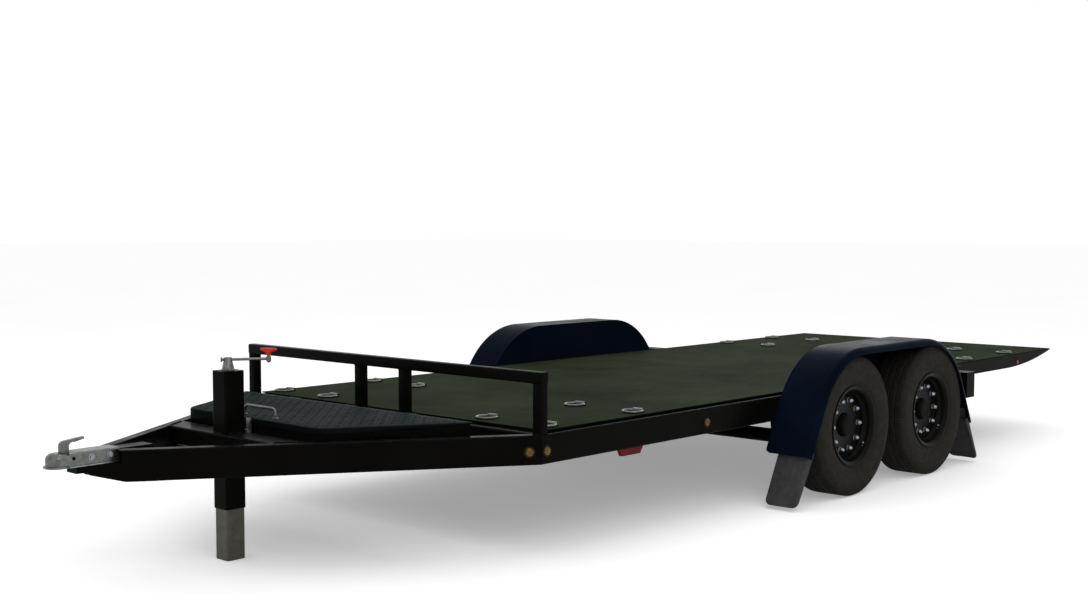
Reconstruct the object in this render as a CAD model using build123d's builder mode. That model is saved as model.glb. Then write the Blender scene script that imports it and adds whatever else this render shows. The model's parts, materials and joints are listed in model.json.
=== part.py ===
import os
from math import atan2, cos, degrees, radians, sin, sqrt
from build123d import *

os.makedirs("parts", exist_ok=True)

# Tilt equipment trailer, millimetres. +X forward, +Y left, +Z up, ground at Z = 0.
deck_length = 5330      # front edge of the frame to the knife edge of the bed
tongue_length = 1680    # front edge of the frame to the tip of the coupler
overall_width = 2591    # outer edges of the fenders
deck_top = 556          # bed plate above the ground
rail_depth = 127        # side rail, header and tongue channel
rail_step = 13          # side rail below the bed plate
steel = 6               # channel and plate thickness
bend = 8                # rounded outer corner of a channel
flange = 27             # side rail flange
header_flange = 46
tongue_flange = 50
run_gap = 6             # between the bed and the frame round it
tyre_radius = 371
tyre_width = 215
wheel_guard = 12        # tyre to the outer edge of the fender
wheel_inset = 30.5      # side rail to the tyre
axle_setback = 2604     # front edge of the frame to the middle of the axle pair
axle_spacing = 861
pivot_setback = 2850    # front edge of the frame to the bed's pivot
plate = 5               # bed plate
bed_depth = 88          # bed frame with its plate

front = (deck_length - tongue_length) / 2
tail = front - deck_length
tip = front + tongue_length
fender_width = wheel_guard + tyre_width + wheel_inset
fender_out = overall_width / 2
half = fender_out - fender_width
rail_top = deck_top - rail_step
rail_low = rail_top - rail_depth
bed_low = deck_top - bed_depth
bed_half = half - flange - run_gap
bed_front = front - header_flange - run_gap
axle_mid = front - axle_setback
pivot_x = front - pivot_setback
pivot_r = 18
pivot_z = rail_low + steel + pivot_r + 1
rail_overrun = 860      # side rail behind the rear axle
rail_rear = axle_mid - axle_spacing / 2 - rail_overrun

# The tongue rails run from the frame's front corners to the coupler.
nose_setback = 273      # tip of the coupler to the rails' noses
nose_x = tip - nose_setback
nose_half = 90
slope = (half - nose_half) / (nose_x - front)
tongue_turn = degrees(atan2(half - nose_half, nose_x - front))
flange_y = tongue_flange / cos(radians(tongue_turn))
web_y = steel / cos(radians(tongue_turn))

SIDES = [("left", 1), ("right", -1)]    # name, sign of Y
WHEELS = [                              # name, X, sign of Y
    ("front_left", axle_mid + axle_spacing / 2, 1),
    ("front_right", axle_mid + axle_spacing / 2, -1),
    ("rear_left", axle_mid - axle_spacing / 2, 1),
    ("rear_right", axle_mid - axle_spacing / 2, -1),
]


def side_plane(y):
    return Plane((0, y, 0), x_dir=(1, 0, 0), z_dir=(0, -1, 0))


def block(x1, x2, y1, y2, z1, z2, mode=Mode.ADD):
    with Locations(((x1 + x2) / 2, (y1 + y2) / 2, (z1 + z2) / 2)):
        Box(abs(x2 - x1), abs(y2 - y1), abs(z2 - z1), mode=mode)


def prism_y(points, y1, y2, mode=Mode.ADD):
    with BuildSketch(side_plane(max(y1, y2))) as outline:
        with BuildLine():
            Polyline(*points, close=True)
        make_face()
    extrude(outline.sketch, amount=abs(y2 - y1), mode=mode)


def prism_z(points, z1, z2, mode=Mode.ADD):
    with BuildSketch(Plane.XY.offset(z1)) as outline:
        with BuildLine():
            Polyline(*points, close=True)
        make_face()
    extrude(outline.sketch, amount=z2 - z1, mode=mode)


def rod(p, q, r, mode=Mode.ADD):
    run = Vector(*q) - Vector(*p)
    with Locations(Plane(origin=p, z_dir=run)):
        Cylinder(r, run.length, align=(Align.CENTER, Align.CENTER, Align.MIN), mode=mode)


def tongue_y(x, inset=0):
    return half - (x - front) * slope - inset


# Coupler: a channel over the tongue's nose, sloped down to a domed ball socket with a rim.
rim_edge = 48
socket_x = tip - rim_edge
socket_r = 30
socket_depth = 20
dome_height = 58
dome_round = 26
coupler_length = 290
coupler_rear = tip - coupler_length
coupler_low = rail_top - 50
coupler_top = rail_top + 8
coupler_half = 44
coupler_sheet = 6
mount_half = coupler_half - coupler_sheet
rim_thick = 7
with BuildPart() as coupler:
    cheek = [
        (coupler_rear, coupler_low),
        (socket_x, coupler_low),
        (socket_x, coupler_low + dome_height - 14),
        (socket_x - 72, coupler_top),
        (coupler_rear, coupler_top),
    ]
    prism_y(cheek, -coupler_half, coupler_half)
    fillet([e for e in coupler.edges() if e.center().Z > coupler_low + 50 and abs(e.center().Y) > 40], bend)
    with BuildSketch(side_plane(0)) as dome:
        with BuildLine():
            l1 = Polyline(
                (socket_x, coupler_low + dome_height),
                (socket_x, coupler_low),
                (socket_x + rim_edge, coupler_low),
                (socket_x + rim_edge, coupler_low + rim_thick),
                (socket_x + coupler_half, coupler_low + rim_thick),
                (socket_x + coupler_half, coupler_low + dome_height - dome_round),
            )
            crown = (socket_x + coupler_half - dome_round, coupler_low + dome_height)
            l2 = TangentArc(l1 @ 1, crown, tangent=(0, 1))
            Line(l2 @ 1, l1 @ 0)
        make_face()
    revolve(dome.sketch, axis=Axis((socket_x, 0, 0), (0, 0, 1)))
    block(coupler_rear, socket_x - 55, -mount_half, mount_half, coupler_low, rail_top + 2, Mode.SUBTRACT)
    with Locations((socket_x, 0, coupler_low)):
        Cylinder(socket_r, socket_depth, align=(Align.CENTER, Align.CENTER, Align.MIN), mode=Mode.SUBTRACT)
    with Locations((socket_x, 0, coupler_low + socket_depth)):
        Sphere(socket_r, mode=Mode.SUBTRACT)
coupler.part.label = "coupler"
export_step(coupler.part, "parts/coupler.step")

# Coupler latch: an upright plate whose lever sweeps back from its top.
latch_x = socket_x - 28
latch_half = 9
latch_wide = 18
latch_tall = 44
lever_reach = 82
latch_seat = 7          # foot of the latch below the coupler's top
with BuildPart() as coupler_latch:
    with BuildSketch(side_plane(latch_half)) as lever:
        with BuildLine():
            foot = Polyline(
                (latch_x - latch_wide, coupler_top + latch_tall - 24),
                (latch_x - latch_wide, coupler_top - latch_seat),
                (latch_x + latch_wide, coupler_top - latch_seat),
                (latch_x + latch_wide, coupler_top + latch_tall - 20),
            )
            brow = TangentArc(foot @ 1, (latch_x, coupler_top + latch_tall), tangent=(0, 1))
            end = Polyline(
                brow @ 1,
                (latch_x - lever_reach, coupler_top + latch_tall + 9),
                (latch_x - lever_reach, coupler_top + latch_tall),
                (latch_x - latch_wide - 22, coupler_top + latch_tall - 9),
            )
            TangentArc(foot @ 0, end @ 1, tangent=(0, 1))
        make_face()
    extrude(lever.sketch, amount=2 * latch_half)
    add(coupler.part, mode=Mode.SUBTRACT)
coupler_latch.part.label = "coupler_latch"
export_step(coupler_latch.part, "parts/coupler_latch.step")

# Coupler mount: a rectangular tube with a cross plate that closes the noses of the tongue rails.
mount_rear = nose_x - 170
mount_front = socket_x - 60
mount_rise = 49
chin = 110
chin_rise = 26
nose_plate = 12
with BuildPart() as coupler_mount:
    block(mount_rear, mount_front, -mount_half, mount_half, rail_low + mount_rise, rail_top + 2)
    plate_rear = coupler_rear - nose_plate
    plan = [
        (coupler_rear, tongue_y(coupler_rear, web_y)),
        (coupler_rear, -tongue_y(coupler_rear, web_y)),
        (plate_rear, -tongue_y(plate_rear, web_y)),
        (plate_rear, tongue_y(plate_rear, web_y)),
    ]
    prism_z(plan, rail_low + chin_rise, rail_top - steel)
    inner = mount_half - steel
    hollow_low = rail_low + mount_rise + steel
    block(mount_rear, mount_front - 8, -inner, inner, hollow_low, rail_top + 2 - steel, Mode.SUBTRACT)
coupler_mount.part.label = "coupler_mount"
export_step(coupler_mount.part, "parts/coupler_mount.step")

# Tongue rails: channels with the web outside, the nose cut upward below the coupler.
for side, s in SIDES:
    with BuildPart() as tongue_rail:
        plan = [
            (front, s * tongue_y(front)),
            (nose_x, s * tongue_y(nose_x)),
            (nose_x, s * tongue_y(nose_x, flange_y)),
            (front, s * tongue_y(front, flange_y)),
        ]
        prism_z(plan, rail_low, rail_top)
        web = [f for f in tongue_rail.faces() if s * f.normal_at().Y > 0.5][0]
        fillet([e for e in web.edges() if abs(e.tangent_at(0.5).Z) < 0.1], bend)
        groove = [
            (front - 10, s * tongue_y(front - 10, web_y)),
            (nose_x + 10, s * tongue_y(nose_x + 10, web_y)),
            (nose_x + 10, s * tongue_y(nose_x + 10, flange_y + 40)),
            (front - 10, s * tongue_y(front - 10, flange_y + 40)),
        ]
        prism_z(groove, rail_low + steel, rail_top - steel, Mode.SUBTRACT)
        block(mount_rear, nose_x + 50, -mount_half, mount_half, rail_low - 5, rail_top + 5, Mode.SUBTRACT)
        cut = [(nose_x - chin, rail_low - 1), (nose_x + 5, rail_low - 1), (nose_x + 5, rail_low + chin_rise)]
        prism_y(cut, -half, half, Mode.SUBTRACT)
        cover = [coupler_rear, nose_x + 50, -coupler_half, coupler_half, coupler_low, rail_top + 20]
        block(*cover, Mode.SUBTRACT)
    tongue_rail.part.label = f"tongue_rail_{side}"
    export_step(tongue_rail.part, f"parts/tongue_rail_{side}.step")

# Side rails: channels with the web outside, ending behind the fenders.
for side, s in SIDES:
    with BuildPart() as side_rail:
        block(rail_rear, front, s * (half - flange), s * half, rail_low, rail_top)
        web = side_rail.faces().sort_by(Axis.Y)[-1 if s > 0 else 0]
        fillet(web.edges().filter_by(Axis.X), bend)
        trough = [rail_rear, front, s * (half - flange), s * (half - steel)]
        block(*trough, rail_low + steel, rail_top - steel, Mode.SUBTRACT)
    side_rail.part.label = f"side_rail_{side}"
    export_step(side_rail.part, f"parts/side_rail_{side}.step")

# Header: channel across the front, between the flanges of the side rails.
header_half = half - flange
with BuildPart() as header:
    block(front - header_flange, front, -header_half, header_half, rail_low, rail_top)
    fillet(header.faces().sort_by(Axis.X)[-1].edges().filter_by(Axis.Y), bend)
    trough = [front - header_flange, front - steel, -header_half, header_half]
    block(*trough, rail_low + steel, rail_top - steel, Mode.SUBTRACT)
header.part.label = "header"
export_step(header.part, "parts/header.step")

# Crossmembers of the frame lie below the bed, ahead of its pivot.
cross_top = bed_low - run_gap
cross_low = rail_low + steel
cross_half = 30
cross_web = 5
cross_count = 4
cross_bay = (pivot_setback - 160) / cross_count
with BuildPart() as crossmembers:
    for k in range(1, cross_count + 1):
        x = front - cross_bay * k
        block(x - cross_half, x + cross_half, steel - half, half - steel, cross_low, cross_top)
        under = [x - cross_half, x + cross_half - cross_web, steel - half, half - steel]
        block(*under, cross_low, cross_top - cross_web, Mode.SUBTRACT)
crossmembers.part.label = "crossmembers"
export_step(crossmembers.part, "parts/crossmembers.step")

# Pivot shaft: a tube between the webs of the side rails.
pivot_wall = 7
with BuildPart() as pivot_shaft:
    rod((pivot_x, steel - half, pivot_z), (pivot_x, half - steel, pivot_z), pivot_r)
    bore = pivot_r - pivot_wall
    rod((pivot_x, -half, pivot_z), (pivot_x, half, pivot_z), bore, Mode.SUBTRACT)
pivot_shaft.part.label = "pivot_shaft"
export_step(pivot_shaft.part, "parts/pivot_shaft.step")

# Front rail: square tube on four posts that stand on the header.
tube = 38
tube_round = 5
rail_height = 265
middle_post = 158
post_x = front - 2 - tube / 2
POSTS = [half - tube / 2, middle_post, -middle_post, tube / 2 - half]
with BuildPart() as front_rail:
    bar_top = rail_top + rail_height
    block(post_x - tube / 2, post_x + tube / 2, -half, half, bar_top - tube, bar_top)
    fillet(front_rail.edges().filter_by(Axis.Y), tube_round)
    for y in POSTS:
        block(post_x - tube / 2, post_x + tube / 2, y - tube / 2, y + tube / 2, rail_top, bar_top - tube_round)
    fillet(front_rail.edges().filter_by(Axis.Z), tube_round)
front_rail.part.label = "front_rail"
export_step(front_rail.part, "parts/front_rail.step")

# Bearers under the tongue box, lying on the lower flanges of the tongue rails.
box_setback = 185       # frame to the tongue box
box_length = 545
box_rear = front + box_setback
box_front = box_rear + box_length
box_inset_rear = 56
box_inset_front = 16
box_rear_half = tongue_y(box_rear, flange_y + box_inset_rear)
box_front_half = tongue_y(box_front, flange_y + box_inset_front)
bearer = 24
bearer_half = 20
bearer_in = 90
box_low = rail_low + steel + bearer
with BuildPart() as box_bearers:
    for x in (box_rear + bearer_in, box_front - bearer_in):
        reach = tongue_y(x + bearer_half, flange_y) + bearer
        block(x - bearer_half, x + bearer_half, -reach, reach, rail_low + steel, box_low)
box_bearers.part.label = "box_bearers"
export_step(box_bearers.part, "parts/box_bearers.step")

# Tongue box: open-topped tray of sheet steel between the tongue rails.
sheet = 3
box_rise = 48
box_top = rail_top + box_rise
box_taper = (box_rear_half - box_front_half) / (box_front - box_rear)


def box_plan(grow, rear):
    side = grow * sqrt(1 + box_taper ** 2)
    wide = box_rear_half + box_taper * (box_rear - rear) + side
    narrow = box_front_half - box_taper * grow + side
    return [(rear, -wide), (box_front + grow, -narrow), (box_front + grow, narrow), (rear, wide)]


with BuildPart() as tongue_box:
    prism_z(box_plan(0, box_rear), box_low, box_top)
    prism_z(box_plan(-sheet, box_rear + sheet), box_low + sheet, box_top + 1, Mode.SUBTRACT)
tongue_box.part.label = "tongue_box"
export_step(tongue_box.part, "parts/tongue_box.step")

# Lid of the tongue box: tread plate with a folded edge, hinged at the rear.
lid_gap = 0.5
lid_lap = 12
lid_sheet = 5
lid_lip = 3
lid_top = box_top + lid_gap + lid_sheet
lid_corner = 45
lid_drop = 20
pin_r = 5
knuckle_r = 9
knuckle_half = 38
hinge_x = box_rear - knuckle_r - 5
hinge_z = box_top - 4
lid_rear = box_rear - 4
HINGES = [-420, 0, 420]
with BuildPart() as box_lid:
    prism_z(box_plan(lid_lap, lid_rear), box_top - lid_drop, lid_top)
    fillet(box_lid.edges().filter_by(Axis.Z).group_by(Axis.X)[-1], lid_corner)
    with BuildPart(mode=Mode.SUBTRACT) as lid_hollow:
        prism_z(box_plan(lid_lap - lid_lip, lid_rear - 1), box_top - lid_drop - 1, box_top + lid_gap)
        fillet(lid_hollow.edges().filter_by(Axis.Z).group_by(Axis.X)[-1], lid_corner - lid_lip)
    for y in HINGES:
        ends = (y - knuckle_half, y + knuckle_half)
        rod((hinge_x, ends[0], hinge_z), (hinge_x, ends[1], hinge_z), knuckle_r)
        block(hinge_x, lid_rear, *ends, box_top + lid_gap, hinge_z + knuckle_r)
        rod((hinge_x, ends[0] - 2, hinge_z), (hinge_x, ends[1] + 2, hinge_z), pin_r + 0.08, Mode.SUBTRACT)
box_lid.part.label = "box_lid"
export_step(box_lid.part, "parts/box_lid.step")

# Hinge pins on brackets behind the tongue box.
bracket_half = 60
bracket_thick = 17
bracket_drop = 26
with BuildPart() as lid_hinges:
    for y in HINGES:
        rod((hinge_x, y - bracket_half, hinge_z), (hinge_x, y + bracket_half, hinge_z), pin_r)
        for end in (-1, 1):
            y1 = y + end * (bracket_half - bracket_thick)
            y2 = y + end * bracket_half
            block(hinge_x - pin_r - 3, box_rear, y1, y2, hinge_z - bracket_drop, hinge_z - 1)
lid_hinges.part.label = "lid_hinges"
export_step(lid_hinges.part, "parts/lid_hinges.step")

# Lid handle: a bow of bent rod on the plate, with the hasp on the front edge.
bow_half = 112
bow_rise = 42
bow_r = 6
bow_bend = 24
hasp_half = 18
hasp_length = 70
with BuildPart() as lid_handle:
    bow_x = box_front - 45
    with BuildLine() as bow:
        FilletPolyline(
            (bow_x, -bow_half, lid_top),
            (bow_x, -bow_half, lid_top + bow_rise),
            (bow_x, bow_half, lid_top + bow_rise),
            (bow_x, bow_half, lid_top),
            radius=bow_bend,
        )
    with BuildSketch(Plane.XY.move(Location((bow_x, -bow_half, lid_top)))):
        Circle(bow_r)
    sweep(path=bow.line)
    hasp_x = box_front + lid_lap
    block(hasp_x, hasp_x + 4, -hasp_half, hasp_half, lid_top - hasp_length, lid_top - 1)
lid_handle.part.label = "lid_handle"
export_step(lid_handle.part, "parts/lid_handle.step")

# Jack: outer tube through the tongue's crossbar, square leg inside it.
jack_lead = 116         # tongue box to the jack
jack_x = box_front + jack_lead
jack_out = 99
jack_wall = 4
jack_round = 10
leg_gap = 0.4
jack_in = jack_out - 2 * jack_wall
leg_size = jack_in - 2 * leg_gap
leg_round = 8
leg_stay = 350          # leg still inside the tube when it stands out
jack_low = 220
jack_rise = 267
jack_high = rail_top + jack_rise
crossbar_half = 58
crossbar_depth = 80
with BuildPart() as jack_crossbar:
    bar_front = jack_x + crossbar_half
    bar_rear = jack_x - crossbar_half
    bar_low = rail_top - crossbar_depth
    plan = [
        (bar_front, tongue_y(bar_front, flange_y)),
        (bar_front, -tongue_y(bar_front, flange_y)),
        (bar_rear, -tongue_y(bar_rear, flange_y)),
        (bar_rear, tongue_y(bar_rear, flange_y)),
    ]
    prism_z(plan, bar_low, rail_top)
    fillet(jack_crossbar.faces().sort_by(Axis.X)[-1].edges().filter_by(Axis.Y), bend)
    block(bar_rear, bar_front - steel, -half, half, bar_low, rail_top - steel, Mode.SUBTRACT)
    edge = jack_out / 2
    block(jack_x - edge, jack_x + edge, -edge, edge, bar_low - 1, rail_top + 1, Mode.SUBTRACT)
jack_crossbar.part.label = "jack_crossbar"
export_step(jack_crossbar.part, "parts/jack_crossbar.step")

with BuildPart() as jack_tube:
    edge = jack_out / 2
    hole = jack_in / 2
    block(jack_x - edge, jack_x + edge, -edge, edge, jack_low, jack_high)
    fillet(jack_tube.edges().filter_by(Axis.Z), jack_round)
    block(jack_x - hole, jack_x + hole, -hole, hole, jack_low, jack_high - steel, Mode.SUBTRACT)
jack_tube.part.label = "jack_tube"
export_step(jack_tube.part, "parts/jack_tube.step")

with BuildPart() as jack_leg:
    edge = leg_size / 2
    block(jack_x - edge, jack_x + edge, -edge, edge, 0, jack_low + leg_stay)
    fillet(jack_leg.edges().filter_by(Axis.Z), leg_round)
jack_leg.part.label = "jack_leg"
export_step(jack_leg.part, "parts/jack_leg.step")

# Crank: tapered head on the tube's top, arm turned back to the left, pin at its end.
head_low_r = 25
head_top_r = 18
head_height = 54
arm_z = jack_high + 46
arm_length = 170
arm_turn = 145          # degrees from forward, towards the left
arm_r = 6
arm_pin = 16
arm_x = jack_x + arm_length * cos(radians(arm_turn))
arm_y = arm_length * sin(radians(arm_turn))
with BuildPart() as jack_crank:
    with Locations((jack_x, 0, jack_high)):
        Cone(head_low_r, head_top_r, head_height, align=(Align.CENTER, Align.CENTER, Align.MIN))
    rod((jack_x, 0, arm_z), (arm_x, arm_y, arm_z), arm_r)
    rod((arm_x, arm_y, arm_z - arm_pin), (arm_x, arm_y, arm_z + arm_pin), arm_r + 1)
jack_crank.part.label = "jack_crank"
export_step(jack_crank.part, "parts/jack_crank.step")

# Grip: a cross handle on a tapered neck, standing on the arm's pin.
grip_turn = 120
grip_half = 28
grip_r = 11
neck_rise = 20
with BuildPart() as crank_grip:
    neck_z = arm_z + arm_pin
    grip_z = neck_z + neck_rise
    reach_x = grip_half * cos(radians(grip_turn))
    reach_y = grip_half * sin(radians(grip_turn))
    with Locations((arm_x, arm_y, neck_z)):
        Cone(arm_r + 1, grip_r + 3, neck_rise, align=(Align.CENTER, Align.CENTER, Align.MIN))
    rod((arm_x - reach_x, arm_y - reach_y, grip_z), (arm_x + reach_x, arm_y + reach_y, grip_z), grip_r)
    for end in (-1, 1):
        with Locations((arm_x + end * reach_x, arm_y + end * reach_y, grip_z)):
            Sphere(grip_r)
crank_grip.part.label = "crank_grip"
export_step(crank_grip.part, "parts/crank_grip.step")

# Fenders: one long arch over both wheels, with an inner wall beside the side rail.
fender_in = half
wheel_room = 40         # tyre to the fender's crown
fender_top = 2 * tyre_radius + wheel_room
fender_low = 265
fender_sheet = 4
arch_room = 114         # tyre to the foot of the arch
arch_lean = 265         # foot of the arch to the start of the flat crown
fender_reach = axle_spacing / 2 + tyre_radius + arch_room
fender_flat = fender_reach - arch_lean
arch_r = tyre_radius + arch_room
lip_r = min(34, 0.3 * fender_width)


def arch(grow, low):
    lean = arch_lean / (fender_top - fender_low)
    top = fender_top + grow
    wide = grow * sqrt(1 + lean ** 2)
    foot = fender_reach + wide + lean * (fender_low - low)
    flat = fender_flat + wide - lean * grow
    return [(axle_mid - foot, low), (axle_mid - flat, top), (axle_mid + flat, top), (axle_mid + foot, low)]


def arch_solid(grow, low, y1, y2, turn, mode=Mode.ADD):
    with BuildSketch(side_plane(max(y1, y2))) as outline:
        with BuildLine():
            Polyline(*arch(grow, low), close=True)
        make_face()
        fillet(outline.vertices().group_by(Axis.Y)[-1], turn)
    extrude(outline.sketch, amount=abs(y2 - y1), mode=mode)


for side, s in SIDES:
    with BuildPart() as fender:
        arch_solid(0, fender_low, s * fender_in, s * fender_out, arch_r)
        brow = fender.faces().sort_by(Axis.Y)[-1 if s > 0 else 0]
        fillet([e for e in brow.edges() if e.center().Z > fender_low + 5], lip_r)
        inside = fender_in + fender_sheet
        outside = fender_out - fender_sheet
        with BuildPart(mode=Mode.SUBTRACT) as hollow:
            arch_solid(-fender_sheet, fender_low - 200, s * inside, s * outside, arch_r - fender_sheet)
            cheek = hollow.faces().sort_by(Axis.Y)[-1 if s > 0 else 0]
            fillet([e for e in cheek.edges() if e.center().Z > fender_low - 195], lip_r - fender_sheet)
        mouth = [s * (outside - lip_r / 2), s * (fender_out + 5)]
        arch_solid(-lip_r, fender_low - 200, *mouth, arch_r - lip_r, Mode.SUBTRACT)
        span = fender_reach + 40
        below = [axle_mid - span, axle_mid + span, s * (fender_in - 5), s * (inside + 0.5)]
        block(*below, fender_low - 10, rail_low, Mode.SUBTRACT)
    fender.part.label = f"fender_{side}"
    export_step(fender.part, f"parts/fender_{side}.step")

# Mud flaps hang from inside both ends of the fenders, splayed away from the wheels; the outer edge is turned back.
flap_in = half + 62
flap_out = fender_out - 11
lap_out = fender_out - lip_r - 1
flap_thick = 8
flap_lap = 70
flap_back = 20          # behind the fender's foot
flap_foot = 20
flap_splay = 0.52       # run for each unit of drop
flap_gap = 0.3
turn_top = 40
turn_foot = 20
FLAPS = [(end, s) for end in (1, -1) for side, s in SIDES]    # end of the fender, sign of Y
with BuildPart() as mud_flaps:
    lean = arch_lean / (fender_top - fender_low)
    for end, s in FLAPS:
        inset = fender_sheet * sqrt(1 + lean ** 2) + flap_gap
        bend_z = fender_low - 3
        top_x = axle_mid + end * (fender_reach - lean * flap_lap - inset)
        mid_x = axle_mid + end * (fender_reach - inset - flap_back)
        low_x = mid_x + end * flap_splay * (bend_z - flap_foot)
        thick = -end * flap_thick * 1.1
        lap = [
            (top_x, fender_low + flap_lap),
            (mid_x, bend_z),
            (mid_x + thick, bend_z),
            (top_x + thick, fender_low + flap_lap),
        ]
        face = [
            (mid_x, bend_z),
            (low_x, flap_foot),
            (low_x + thick, flap_foot),
            (mid_x + thick, bend_z),
        ]
        turned_edge = [
            (mid_x, bend_z),
            (low_x, flap_foot),
            (low_x - end * turn_foot, flap_foot),
            (mid_x - end * turn_top, bend_z),
        ]
        prism_y(lap, s * flap_in, s * lap_out)
        prism_y(face, s * flap_in, s * flap_out)
        prism_y(turned_edge, s * (flap_out - flap_thick), s * flap_out)
mud_flaps.part.label = "mud_flaps"
export_step(mud_flaps.part, "parts/mud_flaps.step")

# The springs' eyes lie a set way below the side rails, and the axle tubes below the springs.
tube_r = 38
leaf = 8
camber = 30
eye_drop = 55
eye_r = 16
eye_z = rail_low - eye_drop
spring_seat = eye_z - camber - 3 * leaf
axle_z = spring_seat - tube_r

# Drop axles: tube below the wheel centres, drop legs and spindles at its ends.
leg_in = half - 2
leg_out = half + 24
leg_half = 40
spindle_r = 22
wheel_out = fender_out - wheel_guard
wheel_in = wheel_out - tyre_width
spindle_end = wheel_out - 95
for place, x in (("front", WHEELS[0][1]), ("rear", WHEELS[2][1])):
    with BuildPart() as axle:
        rod((x, -leg_in, axle_z), (x, leg_in, axle_z), tube_r)
        for side, s in SIDES:
            low = min(axle_z, tyre_radius) - leg_half - 2
            high = max(axle_z, tyre_radius) + leg_half - 2
            block(x - leg_half, x + leg_half, s * leg_in, s * leg_out, low, high)
            rod((x, s * leg_out, tyre_radius), (x, s * spindle_end, tyre_radius), spindle_r)
        fillet(axle.edges().filter_by(Axis.Y).filter_by(GeomType.LINE), 20)
    axle.part.label = f"axle_{place}"
    export_step(axle.part, f"parts/axle_{place}.step")

# Leaf springs: four curved leaves, each shorter than the one above, with rolled eyes.
spring_y = half - 26
spring_half = 22
spring_arm = axle_spacing / 2 - 110
LEAVES = [(0, 1.0), (1, 0.93), (2, 0.7), (3, 0.45)]     # leaf below the main one, share of the main leaf
with BuildPart() as leaf_springs:
    for name, x, s in WHEELS:
        y1 = s * (spring_y - spring_half)
        y2 = s * (spring_y + spring_half)
        for level, share in LEAVES:
            base = spring_seat + (3 - level) * leaf
            arm = spring_arm * share
            rise = camber * share ** 2
            with BuildSketch(side_plane(max(y1, y2))) as strip:
                with BuildLine():
                    tips = base + rise
                    under = ThreePointArc((x - arm, tips), (x, base), (x + arm, tips))
                    over = ThreePointArc((x - arm, tips + leaf), (x, base + leaf), (x + arm, tips + leaf))
                    Line(under @ 0, over @ 0)
                    Line(under @ 1, over @ 1)
                make_face()
            extrude(strip.sketch, amount=2 * spring_half)
        for end in (-1, 1):
            rod((x + end * spring_arm, y1, eye_z), (x + end * spring_arm, y2, eye_z), eye_r)
leaf_springs.part.label = "leaf_springs"
export_step(leaf_springs.part, "parts/leaf_springs.step")

# Hangers under the side rails hold the outer eyes; the middle one carries the equaliser.
hanger = 8
hanger_half = 34
hanger_drop = 26
HANGERS = [axle_mid + axle_spacing / 2 + spring_arm, axle_mid - axle_spacing / 2 - spring_arm]
with BuildPart() as spring_hangers:
    for side, s in SIDES:
        near = s * (spring_y - spring_half)
        far = s * (spring_y + spring_half)
        for x in HANGERS:
            across = [near - s * hanger, far + s * hanger]
            block(x - hanger_half, x + hanger_half, *across, rail_low - hanger, rail_low)
            for face in (-1, 1):
                y1 = spring_y + face * spring_half
                ear = [(x - hanger_half, rail_low - hanger), (x + hanger_half, rail_low - hanger)]
                ear += [(x + hanger_drop, eye_z - hanger_drop), (x - hanger_drop, eye_z - hanger_drop)]
                prism_y(ear, s * y1, s * (y1 + face * hanger))
        block(axle_mid - hanger_half, axle_mid + hanger_half, near, far, eye_z - hanger_drop + 2, rail_low)
spring_hangers.part.label = "spring_hangers"
export_step(spring_hangers.part, "parts/spring_hangers.step")

equal_half = axle_spacing / 2 - spring_arm + 25
with BuildPart() as equalisers:
    for side, s in SIDES:
        for face in (-1, 1):
            y1 = spring_y + face * spring_half
            points = [
                (axle_mid - equal_half, eye_z + 20),
                (axle_mid - equal_half, eye_z - 20),
                (axle_mid - 30, eye_z - hanger_drop),
                (axle_mid + 30, eye_z - hanger_drop),
                (axle_mid + equal_half, eye_z - 20),
                (axle_mid + equal_half, eye_z + 20),
            ]
            prism_y(points, s * y1, s * (y1 + face * hanger))
equalisers.part.label = "equalisers"
export_step(equalisers.part, "parts/equalisers.step")

# Amber lamps: round lenses on the rails at the front corner and ahead of the fenders.
lamp_z = rail_top - 70
lamp_r = 21
lamp_bulge = 14
corner_lead = 30        # lamp to the frame's corner
fender_lead = 511       # lamp ahead of the fender's foot
tongue_lead = 45
LAMPS = [                # X, Y, turn of the lamp's face, for the left side
    (front - corner_lead, half, 0),
    (axle_mid + fender_reach + fender_lead, half, 0),
    (front + tongue_lead, tongue_y(front + tongue_lead), tongue_turn),
]


def lens(x, y, z, turn, s):
    face = (sin(radians(turn)), s * cos(radians(turn)), 0)
    with Locations(Plane(origin=(x, s * y, z), z_dir=face)):
        Cone(lamp_r, lamp_r - 6, lamp_bulge, align=(Align.CENTER, Align.CENTER, Align.MIN))


with BuildPart() as amber_lamps:
    for side, s in SIDES:
        for x, y, turn in LAMPS:
            lens(x, y, lamp_z, turn, s)
amber_lamps.part.label = "amber_lamps"
export_step(amber_lamps.part, "parts/amber_lamps.step")

# Tail lamp boxes stand behind the fenders on the side rails, open at the rear.
lamp_sheet = 4
lamp_front = axle_mid - fender_reach - 5
lamp_rear = lamp_front - 100
lamp_box_low = rail_low - 25
lamp_box_top = rail_top
lamp_out = fender_out - 45
with BuildPart() as tail_lamp_boxes:
    for side, s in SIDES:
        block(lamp_rear, lamp_front, s * half, s * lamp_out, lamp_box_low, lamp_box_top)
        cave = [lamp_rear, lamp_front - lamp_sheet, s * (half + lamp_sheet), s * (lamp_out - lamp_sheet)]
        block(*cave, lamp_box_low + lamp_sheet, lamp_box_top - lamp_sheet, Mode.SUBTRACT)
tail_lamp_boxes.part.label = "tail_lamp_boxes"
export_step(tail_lamp_boxes.part, "parts/tail_lamp_boxes.step")

with BuildPart() as red_lamps:
    for side, s in SIDES:
        lamp = [lamp_rear + 8, lamp_front - lamp_sheet, s * (half + lamp_sheet), s * (lamp_out - lamp_sheet)]
        block(*lamp, lamp_box_low + lamp_sheet, lamp_box_top - lamp_sheet)
    fillet(red_lamps.faces().filter_by(Axis.X).sort_by(Axis.X)[:2].edges(), 12)
red_lamps.part.label = "red_lamps"
export_step(red_lamps.part, "parts/red_lamps.step")

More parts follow.
